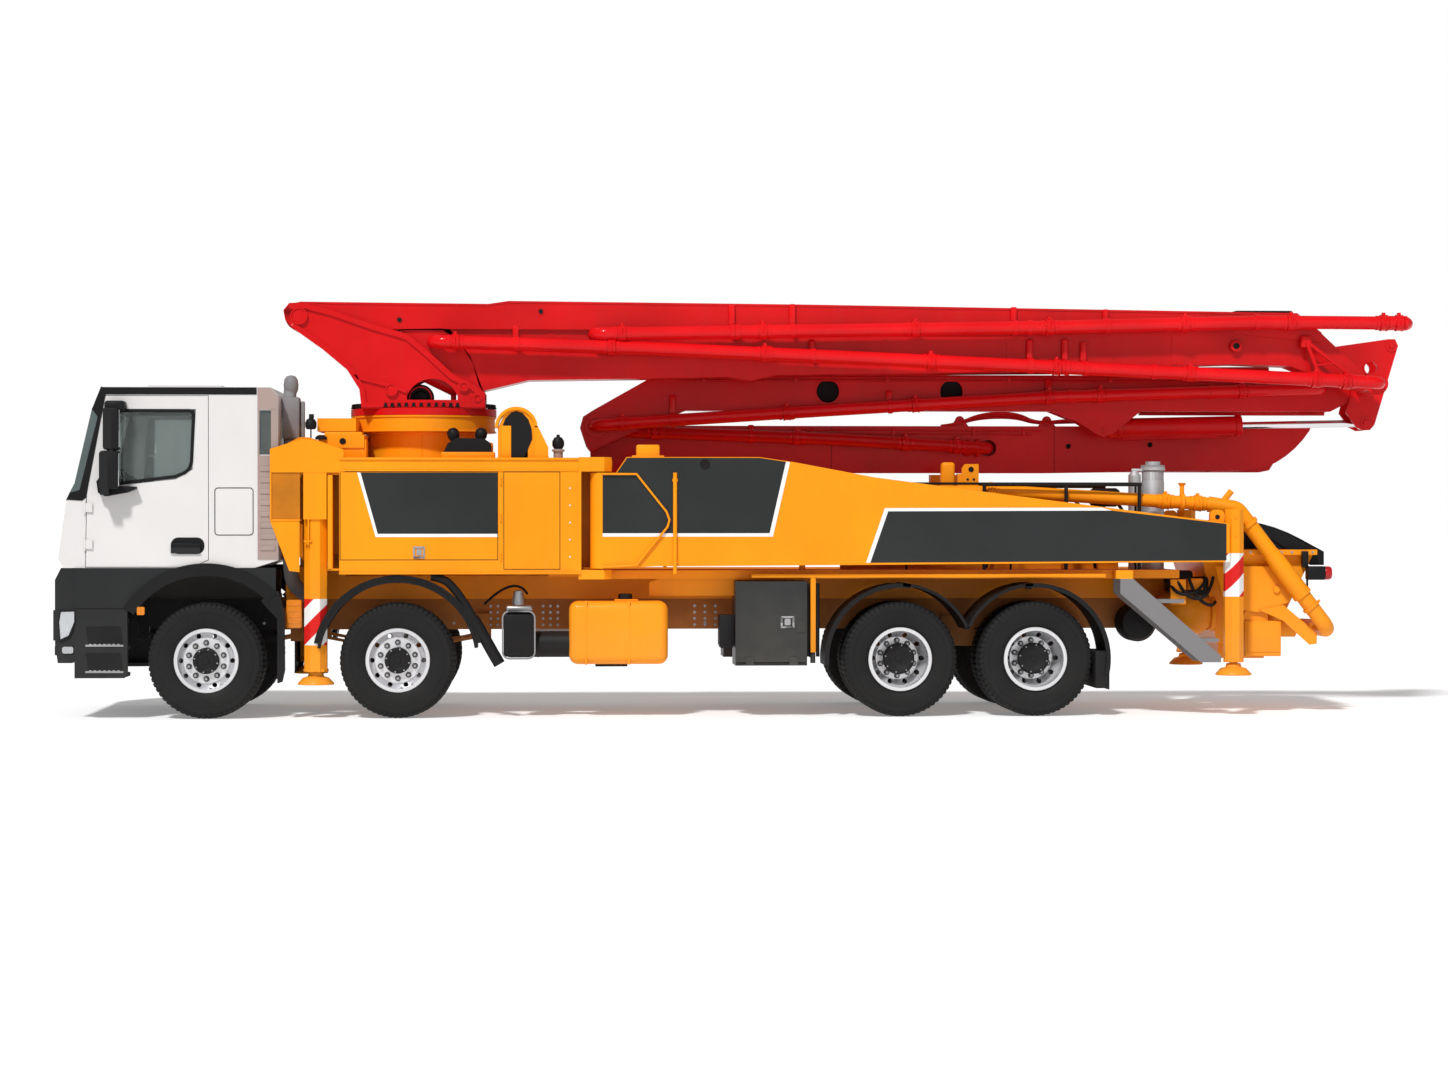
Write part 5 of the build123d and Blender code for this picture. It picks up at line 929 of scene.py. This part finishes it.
# %% [markdown]
# The turret's cheeks have raised rims, which is how a welded box gets its stiffness. The rim is the
# cheek's own outline drawn as a band.

# %% Turret
TURRET_SIDE = (-3668, 2912, -3688, 3084, -3802, 3266, -4041, 3467, -4309, 3658, -4380, 3736, -4398, 3830, -4346, 3892,
               -4206, 3898, -3948, 3832, -3565, 3700, -3233, 3604, -3043, 3446, -2804, 3224, -2613, 3128, -2502, 3048,
               -2502, 2912)
CHEEK_RIB = (-3745, 3225, -3400, 3140, -3240, 3080, -3240, 3045, -3410, 3104, -3705, 3180)
WEB = (-3300, 3690, -2860, 3690, -2640, 3400, -2520, 3075, -2560, 3030, -2680, 3095, -2870, 3200, -3100, 3420,
       -3300, 3600)
add("cheek_rims", red_paint, "turret", *[shape for y0, y1 in ((-566, -590), (-44, -22)) for shape in (
    (frame_plate, TURRET_SIDE, 50, y0, y1), (plate, CHEEK_RIB, y0, y1))])
add("pin_caps", red_paint, "turret", *[
    (lathe, x, -586, z, NEAR, (0.5, 0, r, 0, r, 14, r - 12, 16, r - 16, 5, 0.5, 5), 40)
    for x, z, r in ((-4257, 3775, 82), (-3386, 3080, 60), (-2698, 3110, 46), (-2570, 3000, 40))])
add("root_web", red_paint, "arm_1", *[(plate, WEB, y, y + 10) for y in (-500, -120)])
add("slew_drive_red", red_paint, "turret", (box, -2960, -400, 2912, -2700, -200, 2985, 10),
    (box, -2830, -390, 2912, -2780, -260, 3040, 8),
    (lathe, -3120, -300, 3010, NEAR, (98, 0, 112, 0, 112, 60, 98, 60), 40))
add("slew_drive", black_plastic, "turret", (lathe, -3120, -290, 3010, NEAR, (0.5, 0, 130, 0, 130, 30, 0.5, 30), 40),
    (lathe, -3120, -320, 3010, NEAR, (0.5, 0, 70, 0, 60, 30, 0.5, 40), 32))

# %% [markdown]
# A delivery pipe is made of lengths joined by couplings: two collars, a clamp ring over them and a
# small lever. Each pipe is known by a few points, so a coupling only needs its place along the
# truck, and the pipe's own line gives its height. Brackets hold it off the face of its arm.

# %% Pipe couplings and brackets
COLLARS = ((-62, 6, 30), (62, 6, 30), (0, 11, 52), (-30, 16, 12), (30, 16, 12))   # shift, extra radius, width
# body, y, radius, y of the arm's face, line of x and z, couplings, brackets with their rise
PIPES = {
    "pipe_1": ("arm_1", -655, 64, -500, (-2989, 3535, -985, 3475, 1495, 3370, 6110, 3165),
               (-2780, -1300, 160, 1750, 2960, 4250, 5470, 5770),
               ((-2210, 120), (620, 100), (2720, 200), (3060, 220), (3240, 200))),
    "pipe_2": ("arm_1", -655, 64, -530, (-1460, 3610, 2840, 3688, 4980, 3745, 6376, 3738),
               (-1200, 140, 1600, 2890, 4200, 5230, 6130, 6280), ((-150, 200), (430, 200), (2560, 140), (3450, 100))),
    "pipe_3": ("arm_2", 3, 60, 115, (-1450, 2762, 800, 2910, 3020, 3048, 5700, 3133),
               (-1180, 420, 1680, 2990, 3500, 4900), ((-690, 190), (1430, 100), (3000, 120))),
    "pipe_4": ("arm_3", 422, 60, 500, (-1120, 2718, 850, 2645, 2350, 2560), (-850, 550, 1630, 2140), ((100, 50),)),
    "pipe_5": ("arm_5", 940, 52, 880, (-380, 2640, 5060, 2628), (900, 2600, 4200), ()),
    "deck_pipe": ("chassis", -870, 62, -870, (-1100, 2107, 2520, 2107, 4400, 1994), (-800, 700, 2300, 3970, 4280), ()),
}


def pipe_at(name, x):
    """Centre of a pipe and its direction at a place along the truck."""
    y, line = PIPES[name][1], in_pairs(PIPES[name][4])
    for (x0, z0), (x1, z1) in zip(line, line[1:]):
        if x <= x1 or (x1, z1) == line[-1]:
            return Vector((x, y, z0 + (z1 - z0) * (x - x0) / (x1 - x0))), Vector((x1 - x0, 0, z1 - z0)).normalized()


def coupling(name, x, radius):
    """Shapes of one coupling of a pipe."""
    centre, run = pipe_at(name, x)
    top, lever = centre.z + radius + 6, centre.y - radius - 12
    return [(ring, *(centre + run * shift), run, radius + extra, radius - 2, width, 32)
            for shift, extra, width in COLLARS] + [
        (box, x - 16, centre.y - 22, top, x + 16, centre.y + 22, top + 30, 5),
        (bar, x, lever, centre.z - 30, x, lever, centre.z + 50, 7, 10)]


def bracket(name, x, rise, radius, face):
    """Shapes of one bracket between a pipe and the face of its arm."""
    centre, run = pipe_at(name, x)
    inwards, low = -42 if face > centre.y else 42, centre.z + radius * 0.3
    return [(box, x - 16, min(centre.y, face), low, x + 16, face + 1, low + 50, 4),
            (box, x - 32, face + inwards, low, x + 32, face, centre.z + radius + rise, 16),
            (ring, *centre, run, radius + 9, radius - 2, 44, 32)]


for name, (body, y, radius, face, line, couplings, brackets) in PIPES.items():
    shapes = [shape for x in couplings for shape in coupling(name, x, radius)]
    shapes += [shape for x, rise in brackets for shape in bracket(name, x, rise, radius, face)]
    add(f"couplings_{name}", orange_paint if name == "deck_pipe" else pipe_red, body, *shapes)
print("couplings:", sum(len(couplings) for *_, couplings, _ in PIPES.values()))

# %% [markdown]
# The arms get what the solid boxes lack: round windows with rims and insides in painted shade, weld seams,
# thin hydraulic lines, the bracing at the tip of the first arm and the bolts of its bosses.

# %% Boom details
WINDOWS_2 = (830, 2045)
TAIL = (4700, 2326, 5000, 2332, 5120, 2342, 5240, 2368, 5350, 2415, 5450, 2480, 5540, 2555, 5620, 2640, 5690, 2735,
        5700, 2768, 4900, 2768)
TOP_SEAM = (-4100, 3905, -3950, 3911, -2480, 3896, -2280, 3924, 556, 3900, 4760, 3843, 4760, 3828, 556, 3885,
            -2280, 3909, -2480, 3881, -3950, 3891)


def arm_1_rib(x):
    """Upright rib on the side of arm 1, from its lower edge, which rises towards the tip."""
    return box, x, -506, 3260 + max(0, x - 1775) * 0.033, x + 50, -500, 3640


add("window_rims_2", red_paint, "arm_2", *[(ring, x, 112, 3100, ACROSS, 134, 112, 12, 48) for x in WINDOWS_2])
# Dark discs inside the windows of arm 2: painted shade.
add("windows_2", hole_shade, "arm_2", *[
    (lathe, x, 160, 3100, ACROSS, (0.5, 0, 110, 0, 110, 12, 0.5, 12), 40) for x in WINDOWS_2])
# Dark discs inside the windows of arm 3: painted shade; also two thin dark lines down its side.
add("windows_3", hole_shade, "arm_3", *[(bar, x, 515, z, x, 690, z, 25.5) for x, z in ((3263, 2575), (4082, 2590))],
    *[(box, x, 498.8, 2312, x + 4, 499.8, 2768) for x in (3120, 900)])
add("arm_3_tail", red_paint, "arm_3", (plate, TAIL, 499, 701))
add("reducer", red_paint, "arm_3",
    (lathe, 2395, 470, 2557, ALONG, (58, -190, 64, -190, 84, -150, 84, -126, 66, -118, 66, -70, 90, -60, 90, -34,
                                     62, -20, 58, -20), 40))
add("arm_1_trim", red_paint, "arm_1",
    (lathe, 4722, -543, 3520, NEAR, (30, 0, 56, 0, 56, 8, 46, 14, 34, 14, 30, 6), 40),
    (bar, 5394, -600, 3560, 5494, -660, 3262, 20, 16), (bar, 5394, -600, 3560, 5786, -660, 3250, 20, 16),
    (bar, 5470, -640, 3330, 5660, -640, 3352, 11, 16), (box, 5340, -605, 3500, 5450, -530, 3622, 20),
    *[(ring, *spot, run, 78, 62, 50, 32) for spot, run in (pipe_at("pipe_1", x) for x in (5494, 5786))],
    (plate, TOP_SEAM, -536, -530), (plate, (-2900, 3672, 1000, 3665, 1000, 3653, -2900, 3660), -538, -530),
    (plate, (1000, 3665, 4700, 3648, 4700, 3636, 1000, 3653), -538, -530),
    *[arm_1_rib(x) for x in (-1900, -300, 1300, 2500, 4100)])
add("arm_1_dark", black_plastic, "arm_1", (bar, 4722, -541, 3520, 4722, -546, 3520, 31),
    *[(bar, x, -530, z, x, -542, z, 22, 18) for x, z in ((-3312, 3746), (-1970, 3830))],
    (box, 4740, -440, 3844, 5290, -170, 3868, 6),
    *[(box, x, -535, 3700, x + 50, -529, 3712, 2) for x in (160, 1250, 3350)])
add("arm_3_lines", red_paint, "arm_3",
    *[(bar, x0, y, z, x1, y, z - 12, 8, 10)
      for y, z, x0, x1 in ((490, 2735, 500, 3000), (492, 2700, 500, 2900), (492, 2380, -1000, 700))],
    *[(box, x, 478, 2680, x + 30, 500, 2750, 4) for x in (700, 1500, 2300, 2800)],
    (plate, rounded(-1300, 2450, -1000, 2620, 50), 494, 500), (plate, rounded(1200, 2350, 1700, 2400, 20), 494, 500),
    (ring, 2460, 497, 2555, ACROSS, 104, 82, 12, 40), *[shape for x in (2180, 3050) for shape in (
        (plate, (x - 90, 2768, x - 30, 2858, x + 30, 2858, x + 90, 2768), 520, 540),
        (ring, x, 530, 2828, ACROSS, 46, 20, 36, 24))])
for number, (y, rise) in enumerate(((520, 125), (560, 105), (610, 85)), start=1):
    hose(f"arm_3_hose_{number}", (2000, y, 2776, 2150, y, 2790, 2400, y, 2776 + rise, 2750, y, 2780 + rise,
                                  2950, y, 2800, 3300, y, 2778 + rise * 0.5, 3800, y, 2776 + rise * 0.4,
                                  4300, y, 2776), 15, "arm_3", red_paint)
add("arm_2_lines", red_paint, "arm_2", *[(bar, -600, 100, z, 5300, 100, z, 8, 10) for z in (3235, 3205)],
    *[(bar, 1600, y, z, 5200, y, z + 30, 26, 16) for y, z in ((180, 3292), (230, 3300), (280, 3292))],
    *[(box, x, 88, 3190, x + 30, 116, 3250, 4) for x in (-400, 500, 1400, 2600, 3600, 4600)],
    (ring, -1430, 108, 2762, ACROSS, 120, 70, 16, 40),
    *[(bar, 3950, y, 2898, 5800, y, 2898, 19, 14) for y in (360, 405)])
bolts("ear_bolts", [(3554, 101, 2745), (3554, 101, 2700)], "-y", "arm_2", 14, 10, red_paint)
add("rocker_trim", red_paint, "arm_2_rocker", (ring, 6195, 74, 3340, ACROSS, 80, 61.5, 10, 40),
    *[(lathe, x, 70, z, NEAR, (0.5, 0, r, 0, r, 6, r - 6, 11, 0.5, 11), 32)
      for x, z, r in ((6405, 3558, 30), (6150, 2800, 32), (6110, 3165, 70))])
BARREL_RUN = (0.99978, 0, 0.02118)
add("barrel_trim", red_paint, "arm_2_barrel", (ring, 4905, 230, 2772.4, BARREL_RUN, 106, 80, 60, 40),
    (ring, 3720, 230, 2747.6, BARREL_RUN, 106, 94, 40, 40), (bar, 3760, 230, 2648, 4700, 230, 2668, 14, 12))
print("boom details done")

# %% [markdown]
# Along the frame hang the small units of every truck: an air dryer in its silver hoop, a silencer,
# battery case, straps round the tank, the black duct that drops behind the second wheel, and rows of
# rivets that the bolt tree lays on the rails.

# %% Along the chassis
RAIL_Y = -430.5
water_tank = add("water_tank", orange_paint, "chassis", (box, -1707, -1215, 495, -782, -785, 1085, 85, 6),
                 *[(box, x, -1218.5, 492, x + 24, -790, 1088, 88, 6) for x in (-1560, -1160)],
                 *[(box, x - 30, -1000, 850, x + 30, -435, 900) for x in (-1500, -950, -2180)],
                 (box, -1280, -1080, 1084, -1060, -920, 1100, 4))
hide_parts("side_tanks")
add("fuel_tank", galvanised, "chassis", (box, -2200, 780, 480, -900, 1220, 1040, 110, 6),
    *[(box, x - 30, 435, 850, x + 30, 1000, 900) for x in (-1950, -1150)],
    *[(box, x - 20, 776, 476, x + 20, 1224, 1044, 112, 6) for x in (-2000, -1100)])
add("black_units", black_plastic, "chassis",
    (lathe, -1180, -1010, 1100, UP, (0.5, 0, 62, 0, 66, 10, 66, 40, 56, 52, 0.5, 54), 24),
    (box, -1460, -1080, 470, -1160, -900, 492, 4), (box, -2305, -1200, 560, -2040, -860, 985, 45, 4),
    (bar, -2060, -1030, 680, -1700, -1030, 680, 122, 40), (box, -2318, -1222, 570, -2036, -1190, 965, 14),
    (box, -295, -1100, 660, -158, -760, 950, 8), (box, -285, -1110, 640, -170, -750, 668, 4),
    *[(bar, x, -1120, 560, x, -1120, 1250, 18, 14) for x in (535, 626)])
add("steel_units", bare_steel, "chassis", (frame_plate, rounded(-2334, 544, -2020, 1000, 70), 14, -1226, -1190),
    (box, -2300, -1190, 985, -2045, -870, 1045, 25, 3),
    (lathe, -2180, -1080, 1050, UP, (0.5, 0, 60, 0, 60, 50, 48, 95, 46, 130, 0.5, 140), 28),
    (frame_plate, rounded(270, 832, 398, 944, 10, 3), 18, -1230.5, -1239),
    (plate, rounded(306, 858, 362, 920, 12, 3), -1230.5, -1236))
bolts("rail_rivets", [(x, RAIL_Y, z) for x in (-2450, -2380, -1950, -1880, -1810, -100, -300, -400, -500)
                      for z in (840, 900, 960, 1020)] + [(x * 600 - 5200, RAIL_Y, 860) for x in range(16)],
      "-y", "chassis", 10, 7)
pair("guard_lips", black_plastic, "chassis",
     *[(plate, arc_band(x, AXLE_Z, inner, outer, first, last, steps), y0, y1)
       for x, inner, outer, first, last, steps, y0, y1 in (
           (AXLE_X[2], 670, 712, 82, 185, 24, 1236, 1250), (AXLE_X[3], 670, 712, -12, 98, 24, 1236, 1250),
           (AXLE_X[2], 684, 712, 24, 88, 24, 600, 1250), (AXLE_X[3], 684, 712, 92, 156, 24, 600, 1250),
           (AXLE_X[1], 722, 752, 9, 171, 36, 865, 1250), (AXLE_X[1], 752, 792, 12, 168, 36, 1205, 1238))],
     (box, 3236, 620, 260, 3360, 1238, 610, 12))
print("chassis details done")

# %% [markdown]
# The rear is the busiest corner: filter stack, deck fittings, pump drum, its hoses, the carrier plate
# under the delivery pipe, the moulded hopper cover and the screen in the hopper's mouth.

# %% Rear end
add("filter_stack", galvanised, "chassis",
    (lathe, 3900, -600, 1371, UP, (105, 0, 108.5, 0, 108.5, 840, 90, 900, 90, 940, 119, 950, 119, 975, 72, 1000,
                                   72, 1032, 70.5, 1032, 70.5, 990, 105, 930), 48),
    (lathe, 3720, -620, 1371, UP, (0.5, 0, 60, 0, 60, 900, 30, 940, 0.5, 944), 32),
    (box, 3690, -640, 2310, 3860, -600, 2335, 6))
add("deck_edges", orange_paint, "chassis", (box, 1893, -345, 2150, 2024, -215, 2400, 30, 3),
    (plate, (2089, 2150, 2089, 2340, 2120, 2383, 2252, 2383, 2252, 2150), -345, -300),
    (twins, (box, 0, 1050, 1300, 3350, 1160, 1338, 6),
     (plate, (-950, 1129, -140, 1129, -140, 1338, -711, 1338, -950, 1257), 900, 920)),
    (box, 556, -1160, 600, 606, -1110, 1300, 6))
PIPE_FALL = (0.608, 0, -0.794)
DRUM = (0.5, 0, 150, 0, 150, 20, 110, 30, 190, 140, 235, 300, 215, 470, 160, 560, 190, 566, 190, 600, 0.5, 600)
add("pump_fittings", orange_paint, "chassis", (bar, 4130, -870, 2060, 4130, -870, 2180, 22, 16),
    (lathe, 4130, -870, 2170, UP, (0.5, 0, 24, 0, 42, 24, 0.5, 28), 20),
    (ring, 4130, -870, 2010, (0.998, 0, -0.06), 88, 60, 40, 32), (bar, 4520, -900, 2020, 4600, -900, 2120, 30, 16),
    (ring, 4760, -925, 1806, PIPE_FALL, 92, 73, 40, 36), (ring, 5270, -925, 1140, PIPE_FALL, 94, 73, 50, 36),
    (lathe, 5010, -925, 1480, PIPE_FALL, (73, -60, 80, -60, 88, 120, 88, 440, 73, 460), 40),
    (ring, 5365, -925, 1016, PIPE_FALL, 90, 73, 24, 36),
    (plate, (4878, 985, 5116, 1030, 5440, 760, 5440, 660, 5369, 650, 5115, 880), -845, -828),
    (plate, (4460, 1400, 5350, 1400, 5180, 1060, 4900, 960, 4560, 1000), -826, -812),
    (box, 4750, -822, 540, 5100, -560, 880, 12), (box, 4770, -830, 580, 5080, -820, 860, 4),
    *[(bar, x, -826, 1180, x, -850, 1180, 32, 20) for x in (4700, 5050)],
    (bar, 5300, -930, 960, 5440, -960, 1080, 14, 12), (lathe, 3900, -500, 960, ALONG, DRUM, 48),
    (box, 4000, -980, 1040, 4150, -940, 1280, 10), (box, 4180, -900, 1180, 4330, -700, 1285, 10))
add("air_tank", black_plastic, "chassis",
    (lathe, 3740, -420, 860, NEAR, (0.5, 0, 160, 0, 182, 30, 182, 250, 150, 300, 0.5, 320), 48),
    (box, 4020, -780, 1150, 4260, -520, 1360, 30), (box, 4260, -740, 1120, 4420, -500, 1300, 30))
HOSES = (
    ("pump_hose_a", 16, (4060, -960, 1280, 4120, -1000, 1150, 4240, -1000, 1080, 4380, -960, 1140, 4430, -880, 1300)),
    ("pump_hose_b", 16, (4180, -940, 1300, 4210, -980, 1180, 4300, -980, 1060, 4420, -920, 1020, 4460, -830, 1060)),
    ("pump_hose_c", 16, (3980, -900, 1300, 4000, -980, 1200, 4120, -1020, 1120, 4300, -960, 1180, 4360, -900, 1280)),
    ("deck_hose_a", 16, (2300, -500, 1380, 2420, -560, 1900, 2700, -600, 2150, 3100, -620, 2120, 3300, -600, 1800,
                         3350, -560, 1380)),
    ("deck_hose_b", 16, (2900, -400, 1380, 2950, -440, 1900, 3200, -500, 2120, 3500, -560, 2080, 3640, -620, 1900,
                         3700, -620, 1700)),
    ("black_duct", 40, (-2990, -1190, 1318, -2870, -1195, 1300, -2760, -1200, 1190, -2640, -1200, 1010,
                        -2570, -1200, 880)),
    ("black_duct_end", 56, (-2600, -1190, 930, -2540, -1190, 830, -2420, -1190, 610, -2355, -1190, 500)),
    ("air_line", 12, (-2100, -900, 1150, -2150, -1000, 1240, -2350, -900, 1200, -2500, -700, 1050)),
)
for name, radius, points in HOSES:
    hose(name, points, radius, "chassis", black_plastic)
add("deck_rail_dark", black_plastic, "chassis", (bar, 1200, -780, 2190, 3720, -780, 2190, 12, 12),
    *[(bar, x, -780, 1370, x, -780, 2190, 11, 12) for x in (1500, 2500, 3700)],
    (lathe, 3300, -560, 2060, ALONG, (0.5, 0, 70, 0, 90, 30, 90, 250, 70, 280, 0.5, 280), 32))
add("rest_bolts", black_plastic, "chassis", *[
    (bar, x, -344, z, x, -350, z, r, 20) for x, z, r in ((2178, 2332, 26), (2145, 2235, 12), (2205, 2235, 12))])

# %% [markdown]
# The hopper's cover is a thin curved sheet with two cheeks and a skirt behind. It rides on the lid.

# %% Hopper
COVER_TOP = (4702, 1842, 4820, 1830, 4940, 1806, 5060, 1772, 5190, 1722, 5310, 1662, 5430, 1598, 5538, 1540)
COVER_SIDE = COVER_TOP + (5538, 1410, 5405, 1410, 5230, 1530, 5014, 1673, 4860, 1770, 4702, 1800)
COVER_UNDER = tuple(n for x, z in reversed(in_pairs(COVER_TOP)) for n in (x, z - 10))
add("hopper_cover", black_plastic, "hopper_lid", (plate, COVER_TOP + COVER_UNDER, -700, 700),
    (box, 5528, -700, 1412, 5538, 700, 1536, 3),
    (twins, (plate, COVER_SIDE, 700.2, 712), (frame_plate, COVER_SIDE, 14, 704.4012, 716.272)))
add("hopper_screen", cast_steel, "chassis",
    *[(box, 4372, y - 6, 1500, 5300, y + 6, 1530) for y in range(-720, 721, 120)],
    *[(box, x - 6, -770, 1492, x + 6, 770, 1506) for x in (4600, 4880, 5160)])
bolts("hopper_bolts", [(x, -830.5, 1535) for x in range(4400, 5401, 100)], "-y", "chassis", 9, 8)
print("rear end done")
